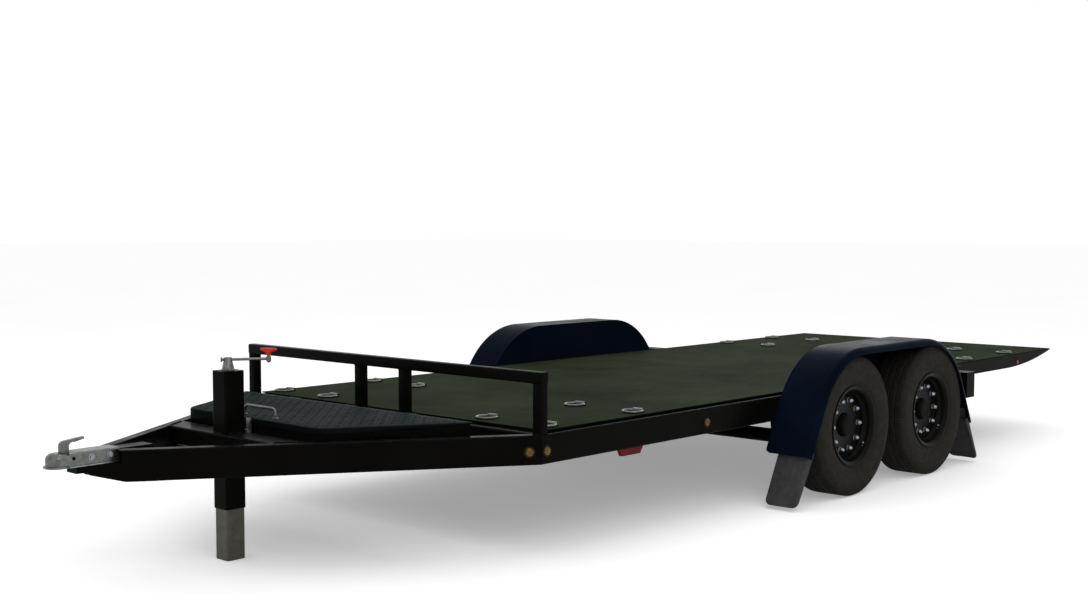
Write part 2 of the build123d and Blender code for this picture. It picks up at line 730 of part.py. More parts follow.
# Tilt latch: red paddle below the left side rail.
latch_at = front - 610
paddle_half = 85
paddle_drop = 32
with BuildPart() as tilt_latch:
    paddle = [
        (latch_at - paddle_half, rail_low),
        (latch_at + paddle_half, rail_low),
        (latch_at + paddle_half - 20, rail_low - paddle_drop),
        (latch_at - paddle_half + 20, rail_low - paddle_drop),
    ]
    prism_y(paddle, half - flange, half - bend)
tilt_latch.part.label = "tilt_latch"
export_step(tilt_latch.part, "parts/tilt_latch.step")

# Bed plate.
with BuildPart() as deck_plate:
    block(tail, bed_front, -bed_half, bed_half, deck_top - plate, deck_top)
deck_plate.part.label = "deck_plate"
export_step(deck_plate.part, "parts/deck_plate.step")

# Bed rails: channels under the plate, with side plates behind the springs. The underside
# sweeps up in one arc to the knife edge at the tail.
bed_rail_out = spring_y - spring_half - hanger - 18
bed_flange = 45
sole = deck_top - plate
tail_run = 720
knife = 2
skirt_front = HANGERS[1] - hanger_half - 40


def bed_side(start, y1, y2):
    with BuildSketch(side_plane(max(y1, y2))) as outline:
        with BuildLine():
            top = Polyline((tail + knife, sole - knife), (tail + knife, sole), (start, sole), (start, bed_low))
            flat = Line(top @ 1, (tail + tail_run, bed_low))
            TangentArc(flat @ 1, top @ 0, tangent=(-1, 0))
        make_face()
    extrude(outline.sketch, amount=abs(y2 - y1))


for side, s in SIDES:
    with BuildPart() as bed_rail:
        bed_side(bed_front, s * (bed_rail_out - bed_flange), s * bed_rail_out)
        trough = [tail + tail_run, bed_front, s * (bed_rail_out - bed_flange), s * (bed_rail_out - steel)]
        block(*trough, bed_low + steel, sole - steel, Mode.SUBTRACT)
        bed_side(skirt_front, s * (bed_half - steel), s * bed_half)
    bed_rail.part.label = f"bed_rail_{side}"
    export_step(bed_rail.part, f"parts/bed_rail_{side}.step")

# Bed crossmembers between the bed rails.
bed_cross_half = bed_rail_out - bed_flange
bed_bays = 9
bed_bar = 25
bed_web = 5
bed_run = deck_length - tail_run - 120
with BuildPart() as bed_crossmembers:
    for k in range(bed_bays + 1):
        x = bed_front - bed_bar - k * bed_run / bed_bays
        block(x - bed_bar, x + bed_bar, -bed_cross_half, bed_cross_half, bed_low + 8, sole)
        hollow = [x - bed_bar, x + bed_bar - bed_web, -bed_cross_half, bed_cross_half]
        block(*hollow, bed_low + 8 + bed_web, sole - bed_web, Mode.SUBTRACT)
bed_crossmembers.part.label = "bed_crossmembers"
export_step(bed_crossmembers.part, "parts/bed_crossmembers.step")

# Hinge lugs below the bed rails turn on the pivot shaft.
lug_r = 38
lug_half = 20
lug_foot = 70
LUGS = [bed_rail_out - bed_flange / 2, bed_flange / 2 - bed_rail_out]
with BuildPart() as bed_lugs:
    for y in LUGS:
        points = [
            (pivot_x - lug_foot, bed_low),
            (pivot_x - lug_r, pivot_z - 10),
            (pivot_x + lug_r, pivot_z - 10),
            (pivot_x + lug_foot, bed_low),
        ]
        prism_y(points, y - lug_half, y + lug_half)
        rod((pivot_x, y - lug_half, pivot_z), (pivot_x, y + lug_half, pivot_z), lug_r)
        above = [pivot_x - lug_foot, pivot_x + lug_foot, y - lug_half, y + lug_half]
        block(*above, bed_low, bed_low + lug_r, Mode.SUBTRACT)
        rod((pivot_x, y - lug_half, pivot_z), (pivot_x, y + lug_half, pivot_z), pivot_r + 0.08, Mode.SUBTRACT)
bed_lugs.part.label = "bed_lugs"
export_step(bed_lugs.part, "parts/bed_lugs.step")

# Tie-down rings lie on the plate in four rows, each held by a strap at its rear.
ring_out = 52
ring_wire = 12
strap_half = 28
ring_inset = 75         # outer rings to the edge of the bed
inner_column = 570
front_row = 141
rear_row = 584
row_gap = 600
RING_ROWS = [front - front_row, front - front_row - row_gap, tail + rear_row + row_gap, tail + rear_row]
RING_COLUMNS = [ring_inset - bed_half, -inner_column, inner_column, bed_half - ring_inset]
with BuildPart() as tie_rings:
    for x in RING_ROWS:
        for y in RING_COLUMNS:
            with Locations((x, y, deck_top)):
                Cylinder(ring_out, ring_wire, align=(Align.CENTER, Align.CENTER, Align.MIN))
                hole = ring_out - ring_wire
                Cylinder(hole, ring_wire, align=(Align.CENTER, Align.CENTER, Align.MIN), mode=Mode.SUBTRACT)
            block(x - ring_out - 6, x - ring_out + 22, y - strap_half, y + strap_half, deck_top, deck_top + 16)
tie_rings.part.label = "tie_rings"
export_step(tie_rings.part, "parts/tie_rings.step")

# Red side markers near the bed's tail.
marker_setback = 540
with BuildPart() as tail_markers:
    for side, s in SIDES:
        marker_z = (sole + bed_low) / 2 - 12
        with Locations(Plane(origin=(tail + marker_setback, s * bed_half, marker_z), z_dir=(0, s, 0))):
            Cone(lamp_r - 4, lamp_r - 8, run_gap - 1, align=(Align.CENTER, Align.CENTER, Align.MIN))
tail_markers.part.label = "tail_markers"
export_step(tail_markers.part, "parts/tail_markers.step")

# Wheels: tyre, pressed rim with its dished disc and ring of nuts, hub with the brake drum.
rim_r = 190
rim_flange = 214
disc_out = 83           # tyre's side to the disc's face
disc_bore = 60
drum_r = 128
nut_ring = 131
nut_count = 10
nut_r = 13
nut_tall = 18
tread_drop = 12
for name, x, s in WHEELS:
    with BuildPart() as tyre:
        low, high = wheel_in, wheel_out
        bead = rim_r + 2.3
        with BuildSketch(Plane.YZ):
            with BuildLine():
                Polyline(
                    (low + 26, bead),
                    (high - 26, bead),
                    (high - 17, rim_flange + 3),
                    (high, tyre_radius - 95),
                    (high - 1, tyre_radius - 46),
                    (high - 8, tyre_radius - tread_drop),
                    (high - 34, tyre_radius),
                    (low + 34, tyre_radius),
                    (low + 8, tyre_radius - tread_drop),
                    (low + 1, tyre_radius - 46),
                    (low, tyre_radius - 95),
                    (low + 17, rim_flange + 3),
                    close=True,
                )
            make_face()
        revolve(axis=Axis.Y)
    placed = tyre.part if s > 0 else mirror(tyre.part, about=Plane.XZ)
    placed = Pos(x, 0, tyre_radius) * placed
    placed.label = f"tyre_{name}"
    export_step(placed, f"parts/tyre_{name}.step")

    with BuildPart() as rim:
        low, high = wheel_in + 10, wheel_out - 10
        face = wheel_out - disc_out
        with BuildSketch(Plane.YZ):
            with BuildLine():
                Polyline(
                    (low, rim_flange),
                    (low, rim_flange - 6),
                    (low + 12, rim_r - 6),
                    (face - 26, rim_r - 22),
                    (face - 8, 140),
                    (face - 8, disc_bore),
                    (face, disc_bore),
                    (face, 150),
                    (face - 12, rim_r - 22),
                    (high - 12, rim_r - 6),
                    (high, rim_flange - 6),
                    (high, rim_flange),
                    (high - 6, rim_flange),
                    (high - 13, rim_r + 2),
                    (low + 13, rim_r + 2),
                    (low + 6, rim_flange),
                    close=True,
                )
            make_face()
        revolve(axis=Axis.Y)
        with BuildSketch(Plane.XZ.offset(-face)) as nuts:
            with PolarLocations(nut_ring, nut_count):
                RegularPolygon(nut_r, 6)
        extrude(nuts.sketch, amount=-nut_tall)
    placed = rim.part if s > 0 else mirror(rim.part, about=Plane.XZ)
    placed = Pos(x, 0, tyre_radius) * placed
    placed.label = f"rim_{name}"
    export_step(placed, f"parts/rim_{name}.step")

    with BuildPart() as hub:
        back = leg_out + 8
        face = wheel_out - disc_out - 8
        with BuildSketch(Plane.YZ):
            with BuildLine():
                Polyline(
                    (back, drum_r),
                    (face, drum_r),
                    (face, disc_bore - 2),
                    (face + 24, disc_bore - 5),
                    (face + 36, disc_bore - 24),
                    (face + 36, 0),
                    (spindle_end + 6, 0),
                    (spindle_end + 6, spindle_r + 0.08),
                    (back + 22, spindle_r + 0.08),
                    (back + 22, disc_bore - 8),
                    (face - 10, disc_bore),
                    (face - 10, drum_r - 10),
                    (back, drum_r - 10),
                    close=True,
                )
            make_face()
        revolve(axis=Axis.Y)
    placed = hub.part if s > 0 else mirror(hub.part, about=Plane.XZ)
    placed = Pos(x, 0, tyre_radius) * placed
    placed.label = f"hub_{name}"
    export_step(placed, f"parts/hub_{name}.step")
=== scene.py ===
import json
import bpy
import numpy as np
from mathutils import Matrix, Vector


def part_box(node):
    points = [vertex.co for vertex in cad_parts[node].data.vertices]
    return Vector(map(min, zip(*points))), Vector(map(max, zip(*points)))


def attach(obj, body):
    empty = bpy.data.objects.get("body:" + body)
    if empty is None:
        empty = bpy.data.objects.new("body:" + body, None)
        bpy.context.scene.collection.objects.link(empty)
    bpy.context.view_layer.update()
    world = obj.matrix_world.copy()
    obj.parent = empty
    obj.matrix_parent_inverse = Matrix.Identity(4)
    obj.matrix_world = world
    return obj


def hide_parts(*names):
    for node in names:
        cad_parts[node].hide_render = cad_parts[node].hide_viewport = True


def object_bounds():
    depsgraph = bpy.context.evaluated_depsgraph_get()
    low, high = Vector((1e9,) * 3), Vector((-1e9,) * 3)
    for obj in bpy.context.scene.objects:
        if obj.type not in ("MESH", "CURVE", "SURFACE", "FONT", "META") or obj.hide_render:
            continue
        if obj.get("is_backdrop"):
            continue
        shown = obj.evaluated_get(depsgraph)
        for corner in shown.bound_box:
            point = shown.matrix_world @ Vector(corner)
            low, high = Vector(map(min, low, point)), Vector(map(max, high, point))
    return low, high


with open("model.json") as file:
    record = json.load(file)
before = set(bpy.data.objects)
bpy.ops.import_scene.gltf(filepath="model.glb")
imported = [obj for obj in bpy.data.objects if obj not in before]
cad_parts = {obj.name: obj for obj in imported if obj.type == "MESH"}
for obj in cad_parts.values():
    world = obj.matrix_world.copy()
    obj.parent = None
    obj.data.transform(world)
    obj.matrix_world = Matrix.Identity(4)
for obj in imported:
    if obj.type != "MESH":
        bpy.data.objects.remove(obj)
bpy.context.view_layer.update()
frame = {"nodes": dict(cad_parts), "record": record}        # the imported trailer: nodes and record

nodes = frame["nodes"]
alongX, alongY, alongZ = np.eye(3)
sides = (("left", 1), ("right", -1))        # each side's name, and its way along Y
meshing = {"pole": 1e-5, "leastRound": 1e-4, "nearly": 0.9, "edgePoints": 4, "crease": 34}
print("frame loaded:", len(nodes), "pieces")


def corners(node):
    # Lowest and highest corner of a frame piece, as arrays.
    low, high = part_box(node)
    return np.array(low), np.array(high)


def unit(vectors):
    # Each vector divided by its own length.
    vectors = np.asarray(vectors, float)
    return vectors / np.linalg.norm(vectors, axis=-1, keepdims=True)


def roundAngles(steps):
    # Even angles through one full turn.
    return np.linspace(0, 2 * np.pi, steps, endpoint=False)


def levelWay(degrees):
    # Level direction at an angle from X towards Y.
    return np.array([np.cos(np.radians(degrees)), np.sin(np.radians(degrees)), 0.0])


def joined(*parts):
    # Coordinates put together as points, each spread to the shape that all of them share.
    return np.stack(np.broadcast_arrays(*parts), axis=-1)


def evenly(line, count):
    # A flat line of points taken again at even steps along its length.
    run = np.concatenate([[0], np.cumsum(np.linalg.norm(np.diff(line, axis=0), axis=1))])
    at = np.linspace(0, run[-1], count)
    return joined(np.interp(at, run, line[:, 0]), np.interp(at, run, line[:, 1]))


def gridFaces(rows, columns, wrapRows=False):
    # Quads between neighbours in a grid of points; each row closes on itself, and the last row on the first if asked.
    r, c = np.meshgrid(np.arange(rows - (not wrapRows)), np.arange(columns), indexing="ij")
    here, after, beside = r * columns, (r + 1) % rows * columns, (c + 1) % columns
    return joined(here + c, after + c, after + beside, here + beside).reshape(-1, 4)


def outward(points, quads, tris):
    # Adds up the wedge from the origin to each triangle; a closed form whose sum is negative is turned round.
    flat = np.concatenate([quads[:, [0, 1, 2]], quads[:, [0, 2, 3]], tris])
    a, b, c = points[flat[:, 0]], points[flat[:, 1]], points[flat[:, 2]]
    if np.sum(a * np.cross(b, c)) < 0:
        quads, tris = quads[:, ::-1], tris[:, ::-1]
    return points, quads, tris


def skin(rings, loop=False):
    # Closed rings of points joined one to the next; the two ends meet, or each closes on its middle point.
    n, m = rings.shape[:2]
    points = rings.reshape(-1, 3)
    tris = np.empty((0, 3), int)
    if not loop:
        points = np.concatenate([points, rings[:1].mean(axis=1), rings[-1:].mean(axis=1)])
        i = np.arange(m)
        j, end = (i + 1) % m, (n - 1) * m
        tris = np.concatenate([joined(i, j, n * m), joined(j + end, i + end, n * m + 1)])
    return outward(points, gridFaces(n, m, loop), tris)


def twoSheets(outer, inner):
    # Two sheets of points face to face, closed by strips along all four edges.
    n, m = outer.shape[:2]
    rings = np.concatenate([outer, inner[:, ::-1]], axis=1)
    k = np.arange(m - 1)
    head = joined(k, k + 1, 2 * m - 2 - k, 2 * m - 1 - k)
    quads = np.concatenate([gridFaces(n, 2 * m), head, head[:, ::-1] + (n - 1) * 2 * m])
    return outward(rings.reshape(-1, 3), quads, np.empty((0, 3), int))


def gathered(*shells):
    # Several shells as one, the faces of each counted on from the points before it.
    start = np.cumsum([0] + [len(s[0]) for s in shells[:-1]])
    return (np.concatenate([s[0] for s in shells]),
            np.concatenate([s[1] + k for s, k in zip(shells, start)]),
            np.concatenate([s[2] + k for s, k in zip(shells, start)]))


def copies(shell, places, turns=None):
    # One shell set down at many places, each first turned by its own 3 by 3 matrix.
    points, quads, tris = shell
    count, size = len(places), len(points)
    moved = np.repeat(points[None], count, axis=0)
    if turns is not None:
        moved = np.einsum("kij,knj->kni", turns, moved)
    moved = moved + np.asarray(places)[:, None, :]
    step = (np.arange(count) * size)[:, None, None]
    return moved.reshape(-1, 3), (quads[None] + step).reshape(-1, 4), (tris[None] + step).reshape(-1, 3)


def turned(profile, centre, axis, steps, loop=False):
    # Pairs of (distance along the axis, radius) swung round the axis through a full turn.
    axis = unit(axis)
    side = unit(np.cross(axis, alongZ if abs(axis[2]) < meshing["nearly"] else alongX))
    angle = roundAngles(steps)[:, None]
    spoke = np.cos(angle) * side + np.sin(angle) * np.cross(axis, side)
    profile = np.asarray(profile, float)
    radius = np.maximum(profile[:, 1], meshing["pole"])
    return skin(profile[:, 0, None, None] * axis + radius[:, None, None] * spoke + np.asarray(centre), loop)


def roundLoop(halfX, halfY, radius, steps):
    # Outline of a rectangle whose corners are quarter arcs, as one closed row of points.
    angle = np.linspace(0, np.pi / 2, steps)[None] + np.arange(4)[:, None] * np.pi / 2
    middle = np.array([[1, 1], [-1, 1], [-1, -1], [1, -1]]) * [halfX - radius, halfY - radius]
    return (middle[:, None] + radius * joined(np.cos(angle), np.sin(angle))).reshape(-1, 2)


def slab(middle, half, corner, edge, axes=(alongX, alongY, alongZ), steps=5):
    # Rounded outlines stacked through a plate's thickness, drawn in along a quarter arc at both faces.
    u, v, w = np.asarray(axes, float)
    angle = np.linspace(0, np.pi / 2, meshing["edgePoints"])
    inset, height = edge * (1 - np.sin(angle)), half[2] - edge * (1 - np.cos(angle))
    inset, height = np.concatenate([inset, inset[::-1]]), np.concatenate([-height, height[::-1]])
    flat = np.stack([roundLoop(half[0] - k, half[1] - k, max(corner - k, meshing["leastRound"]), steps)
                     for k in inset])
    return skin(flat[..., 0, None] * u + flat[..., 1, None] * v + height[:, None, None] * w + np.asarray(middle))


def eased(corner, back, ahead, ease, steps):
    # A parabola at each corner, from the point one distance back along its run to the point as far ahead.
    start, end = corner + ease * unit(back - corner), corner + ease * unit(ahead - corner)
    t = np.linspace(0, 1, steps)[None, :, None]
    bend = (1 - t) ** 2 * start[:, None] + 2 * t * (1 - t) * corner[:, None] + t ** 2 * end[:, None]
    return bend.reshape(-1, corner.shape[1])


def bentPath(points, ease, steps):
    # An open run of straight lines with its inner corners eased.
    points = np.asarray(points, float)
    bends = eased(points[1:-1], points[:-2], points[2:], ease, steps)
    return np.concatenate([points[:1], bends, points[-1:]])


def outlineLoop(points, ease, steps=7):
    # A closed outline with every corner eased, each by its own distance where several are given.
    points = np.asarray(points, float)
    ease = np.broadcast_to(np.asarray(ease, float), (len(points),))[:, None]
    return eased(points, np.roll(points, 1, axis=0), np.roll(points, -1, axis=0), ease, steps)


def drawnIn(points, step):
    # Each side of an outline moved inwards by one step; a corner goes where its two moved sides meet.
    run = unit(np.roll(points, -1, axis=0) - points)
    normal = joined(-run[:, 1], run[:, 0])
    before = np.roll(normal, 1, axis=0)
    return points + step * (before + normal) / (1 + np.sum(before * normal, axis=1, keepdims=True))


def cutCorners(points, passes):
    # Each corner of a closed outline gives way to two points a quarter of the way along its two sides.
    for _ in range(passes):
        after = np.roll(points, -1, axis=0)
        points = np.stack([0.75 * points + 0.25 * after, 0.25 * points + 0.75 * after], axis=1).reshape(-1, 2)
    return points


def tube(path, radius, flat, around, loop=False):
    # A round section carried along a path that lies in the plane square to the given direction.
    path = np.asarray(path, float)
    if loop:
        ahead = np.roll(path, -1, axis=0) - np.roll(path, 1, axis=0)
    else:
        ahead = np.gradient(path, axis=0)
    up = unit(flat)
    side = unit(np.cross(unit(ahead), up))
    angle = roundAngles(around)[None, :, None]
    radius = np.broadcast_to(np.asarray(radius, float), (len(path),))[:, None, None]
    return skin(path[:, None] + radius * (np.cos(angle) * side[:, None] + np.sin(angle) * up), loop)


def bowRod(first, last, rise, bend, rod, flat, around):
    # A rod that rises from its first foot, crosses, and comes back to its last; bend is the ease and its steps.
    first, last, rise = np.array(first), np.array(last), np.array(rise)
    return tube(bentPath([first, first + rise, last + rise, last], *bend), rod, flat, around)


hexShape = {"girth": (1.0, 1.0, 0.86), "level": (0.0, 0.875, 1.0)}        # shares of the width and of the height


def hexHead(across, tall):
    # Six-sided rings stacked upwards along Z, drawn in at the top as a chamfered bolt head.
    angle = roundAngles(6)
    ring = joined(np.cos(angle), np.sin(angle), 0.0)
    size = np.array(hexShape["girth"]) * across / np.sqrt(3)
    height = np.array(hexShape["level"]) * tall
    return skin(size[:, None, None] * ring + height[:, None, None] * alongZ)


def standing(normal):
    # Matrix that turns upright Z to face the given direction.
    z = unit(normal)
    x = unit(np.cross(alongY if abs(z[1]) < meshing["nearly"] else alongX, z))
    return joined(x, np.cross(z, x), z)


def place(name, shell, body, slot, stands=(), crease=meshing["crease"], finish=None):
    # Puts a shell into a mesh, smooth across edges flatter than the crease, and hands it to its body. It wears its
    # slot's finish if no other is named.
    points, quads, tris = shell
    mesh = bpy.data.meshes.new(name)
    mesh.vertices.add(len(points))
    mesh.vertices.foreach_set("co", np.ascontiguousarray(points, np.float32).ravel())
    turns = np.concatenate([quads.ravel(), tris.ravel()]).astype(np.int32)
    count = np.concatenate([np.full(len(quads), 4), np.full(len(tris), 3)])
    mesh.loops.add(len(turns))
    mesh.loops.foreach_set("vertex_index", turns)
    mesh.polygons.add(len(count))
    mesh.polygons.foreach_set("loop_start", np.concatenate([[0], np.cumsum(count)[:-1]]).astype(np.int32))
    mesh.polygons.foreach_set("use_smooth", np.ones(len(count), bool))
    mesh.update(calc_edges=True)
    mesh.set_sharp_from_angle(angle=np.radians(crease))
    piece = bpy.data.objects.new(name, mesh)
    bpy.context.scene.collection.objects.link(piece)
    mesh.materials.append(finish or slotFinish[slot])
    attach(piece, body)
    if stands:
        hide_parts(*stands)


def tone(r, g, b):
    # Screen colour from 0 to 255, brought to linear light.
    c = np.array([r, g, b]) / 255
    return tuple(np.where(c <= 0.04045, c / 12.92, ((c + 0.055) / 1.055) ** 2.4)) + (1.0,)


def grey(level):
    return (level, level, level, 1.0)


def dimmed(colour, share):
    # A colour brought down to a share of its light.
    return tuple(c * share for c in colour[:3]) + (1.0,)


def newFinish(name, **values):
    # A material with its shader's fixed values set, and the piece's own coordinates to read.
    finish = bpy.data.materials.new(name)
    finish.use_nodes = True
    tree = finish.node_tree
    shader = tree.nodes["Principled BSDF"]
    for socket, value in values.items():
        shader.inputs[socket.replace("_", " ")].default_value = value
    return finish, tree, shader, tree.nodes.new("ShaderNodeTexCoord").outputs["Object"]


def stretched(tree, source, scale):
    # Coordinates with each axis scaled, so that a pattern runs along one of them.
    mapping = tree.nodes.new("ShaderNodeMapping")
    mapping.inputs["Scale"].default_value = scale
    tree.links.new(source, mapping.inputs["Vector"])
    return mapping.outputs["Vector"]


def grain(tree, source, scale, detail=5.0, rough=0.55):
    # Noise of the given number of cells to a metre.
    noise = tree.nodes.new("ShaderNodeTexNoise")
    noise.inputs["Scale"].default_value = scale
    noise.inputs["Detail"].default_value = detail
    noise.inputs["Roughness"].default_value = rough
    tree.links.new(source, noise.inputs["Vector"])
    return noise.outputs["Fac"]


def ramp(tree, factor, first, last):
    # A colour that goes from one to another between two points of a factor.
    node = tree.nodes.new("ShaderNodeValToRGB")
    for element, (at, colour) in zip(node.color_ramp.elements, (first, last)):
        element.position = at
        element.color = colour
    tree.links.new(factor, node.inputs["Fac"])
    return node.outputs["Color"]


def blended(tree, factor, first, second):
    # Two colours mixed by a factor.
    node = tree.nodes.new("ShaderNodeMix")
    node.data_type = "RGBA"
    tree.links.new(factor, node.inputs["Factor"])
    tree.links.new(first, node.inputs["A"])
    tree.links.new(second, node.inputs["B"])
    return node.outputs["Result"]


def worked(tree, operation, first, second):
    # Two values put through one operation, held between nothing and one.
    node = tree.nodes.new("ShaderNodeMath")
    node.operation = operation
    node.use_clamp = True
    tree.links.new(first, node.inputs[0])
    tree.links.new(second, node.inputs[1])
    return node.outputs["Value"]


def facingUp(tree):
    # How far the surface faces up, from the height of its normal.
    part = tree.nodes.new("ShaderNodeSeparateXYZ")
    tree.links.new(tree.nodes.new("ShaderNodeNewGeometry").outputs["Normal"], part.inputs["Vector"])
    return part.outputs["Z"]


def roughened(tree, shader, pattern, gloss, top=0.75):
    # Roughness that follows a pattern from its smooth level to its dull one.
    levels = ramp(tree, pattern, (0.3, grey(gloss[0])), (top, grey(gloss[1])))
    tree.links.new(levels, shader.inputs["Roughness"])


def raised(tree, shader, height, strength, distance):
    # Height turned to a bump on the surface's own normal.
    bump = tree.nodes.new("ShaderNodeBump")
    bump.inputs["Strength"].default_value = strength
    bump.inputs["Distance"].default_value = distance
    tree.links.new(height, bump.inputs["Height"])
    tree.links.new(bump.outputs["Normal"], shader.inputs["Normal"])


paintGrain = {"cloud": 3.0, "dustSheen": 26.0, "film": 90.0, "thin": 0.7, "gloss": 7.0, "peel": 420.0, "peelHigh": 0.06}


def glossPaint(name, dark, pale, dustSheen, gloss, level, tint=(1, 1, 1, 1)):
    # Sprayed paint: broad cloudy tone, a lighter film on top faces that is partly fine dust and partly painted sheen,
    # and orange peel.
    finish, tree, shader, own = newFinish(name, Specular_IOR_Level=level, Specular_Tint=tint)
    cloud = ramp(tree, grain(tree, own, paintGrain["cloud"]), (0.35, dark), (0.75, pale))
    # Top faces take a lighter film: partly real dust, partly painted sheen standing in for the light that top faces
    # catch.
    topDustSheen = grain(tree, own, paintGrain["dustSheen"], detail=8.0, rough=0.7)
    topDustSheen = ramp(tree, topDustSheen, (0.42, grey(0.0)), (0.78, grey(0.5)))
    film = ramp(tree, grain(tree, own, paintGrain["film"]), (0.3, dustSheen), (0.7, dimmed(dustSheen, paintGrain["thin"])))
    dustSheenTone = blended(tree, worked(tree, "MULTIPLY", facingUp(tree), topDustSheen), cloud, film)
    tree.links.new(dustSheenTone, shader.inputs["Base Color"])
    roughened(tree, shader, grain(tree, own, paintGrain["gloss"]), gloss, top=0.8)
    raised(tree, shader, grain(tree, own, paintGrain["peel"], detail=2.0), paintGrain["peelHigh"], distance=0.001)
    return finish


# The frame's bluish top-face film is painted sheen, the blue-grey highlight along the rails' top edges.
framePaint = glossPaint("frame_paint", tone(7, 6, 5), tone(11, 11, 9), dustSheen=tone(38, 43, 48),
                        gloss=(0.24, 0.42), level=0.016)
# The fender is black paint; the blue in its base tones, its top-face film and its specular tint is painted sky
# reflection.
fenderPaint = glossPaint("fender_paint", tone(6, 12, 23), tone(10, 19, 34), dustSheen=tone(15, 20, 28),
                         gloss=(0.24, 0.4), level=0.0065, tint=(0.6, 0.8, 1.0, 1.0))
rimPaint = glossPaint("rim_paint", tone(10, 10, 9), tone(18, 17, 15), dustSheen=tone(36, 33, 28),
                      gloss=(0.24, 0.42), level=0.04)

deckGrain = {"patch": 1.7, "scuff": 14.0, "scuffRun": (0.6, 16.0, 4.0), "film": 60.0, "thin": 0.72,
             "flankPaintedShade": 5.0, "flankShadeShares": (0.3, 0.42), "streak": 6.0, "streakRun": (1.0, 9.0, 9.0),
             "roll": 60.0, "rollRun": (1.0, 5.0, 5.0), "rollHigh": 0.10}


def deckPaint(name, dark, pale, worn, gloss, level):
    # Rolled plate under thin paint: cloudy patches with scuffs along the length on top, and flanks darkened with
    # painted shade.
    g = deckGrain
    finish, tree, shader, own = newFinish(name, Specular_IOR_Level=level)
    patch = ramp(tree, grain(tree, own, g["patch"], detail=6.0, rough=0.6), (0.32, dark), (0.72, pale))
    scuff = grain(tree, stretched(tree, own, g["scuffRun"]), g["scuff"], detail=9.0, rough=0.66)
    scuff = ramp(tree, scuff, (0.55, grey(0.0)), (0.8, grey(0.4)))
    film = ramp(tree, grain(tree, own, g["film"]), (0.3, worn), (0.7, dimmed(worn, g["thin"])))
    # Faces that don't face up take painted shade: the dark tone dimmed to these shares, blended into the lit top tones
    # by the facing-up mask.
    deep, lighterShade = (dimmed(dark, share) for share in g["flankShadeShares"])
    flankPaintedShade = ramp(tree, grain(tree, own, g["flankPaintedShade"]), (0.3, deep), (0.7, lighterShade))
    top = ramp(tree, facingUp(tree), (0.3, grey(0.0)), (0.9, grey(1.0)))
    tree.links.new(blended(tree, top, flankPaintedShade, blended(tree, scuff, patch, film)), shader.inputs["Base Color"])
    roughened(tree, shader, grain(tree, stretched(tree, own, g["streakRun"]), g["streak"]), gloss)
    roll = grain(tree, stretched(tree, own, g["rollRun"]), g["roll"], detail=6.0, rough=0.6)
    raised(tree, shader, roll, g["rollHigh"], distance=0.002)
    return finish


# The bed's olive and the lid's grey-green are partly the plates' own dark paint and partly painted reflection of the
# surroundings, held in the base colour under a very low specular level.
bedPaint = deckPaint("bed_paint", tone(32, 37, 26), tone(48, 55, 40), worn=tone(63, 71, 54),
                     gloss=(0.55, 0.72), level=0.0025)
lidPaint = deckPaint("lid_paint", tone(27, 33, 33), tone(38, 44, 44), worn=tone(56, 62, 61),
                     gloss=(0.42, 0.6), level=0.006)

plateGrain = {"mottle": 45.0, "gloss": 30.0, "pit": 260.0, "pitDeep": 0.12}


def metalFinish(name, dark, pale, gloss, metal=1.0, flake=None):
    # Plated steel: grains of slightly different tone, or flakes of a given number to a metre, and fine pits.
    finish, tree, shader, own = newFinish(name, Metallic=metal, Specular_IOR_Level=0.5)
    if flake:
        cell = tree.nodes.new("ShaderNodeTexVoronoi")
        cell.inputs["Scale"].default_value = flake
        tree.links.new(own, cell.inputs["Vector"])
        part = tree.nodes.new("ShaderNodeSeparateColor")
        tree.links.new(cell.outputs["Color"], part.inputs["Color"])
        tones = ramp(tree, part.outputs["Red"], (0.1, dark), (0.9, pale))
    else:
        tones = ramp(tree, grain(tree, own, plateGrain["mottle"], detail=7.0, rough=0.62), (0.32, dark), (0.7, pale))
    tree.links.new(tones, shader.inputs["Base Color"])
    roughened(tree, shader, grain(tree, own, plateGrain["gloss"], detail=6.0), gloss)
    raised(tree, shader, grain(tree, own, plateGrain["pit"], detail=4.0), plateGrain["pitDeep"], distance=0.0008)
    return finish


zincFinish = metalFinish("zinc_plate", tone(84, 86, 84), tone(114, 116, 113), gloss=(0.24, 0.42))
chromeFinish = metalFinish("bright_plate", tone(118, 122, 128), tone(152, 156, 162), gloss=(0.28, 0.42))
steelFinish = metalFinish("bare_steel", tone(58, 56, 52), tone(92, 88, 82), gloss=(0.38, 0.6))
galvanisedFinish = metalFinish("galvanised_steel", tone(63, 61, 51), tone(72, 70, 59), gloss=(0.42, 0.6),
                               metal=0.45, flake=48.0)


def mouldedFinish(name, dark, pale, gloss, level, mottle=24.0, bloom=40.0, pit=320.0, bump=0.1, coat=0.0):
    # Moulded goods: soft mottling, a little bloom in the gloss and a fine surface grain.
    finish, tree, shader, own = newFinish(name, Specular_IOR_Level=level, Coat_Weight=coat)
    tones = ramp(tree, grain(tree, own, mottle, detail=7.0, rough=0.6), (0.3, dark), (0.72, pale))
    tree.links.new(tones, shader.inputs["Base Color"])
    roughened(tree, shader, grain(tree, own, bloom), gloss)
    raised(tree, shader, grain(tree, own, pit, detail=4.0), bump, distance=0.001)
    return finish


redGrip = mouldedFinish("red_grip", tone(168, 26, 24), tone(204, 40, 38), gloss=(0.32, 0.5), level=0.3)
redPaint = mouldedFinish("red_paint", tone(74, 8, 10), tone(98, 13, 15), gloss=(0.3, 0.5), level=0.08)
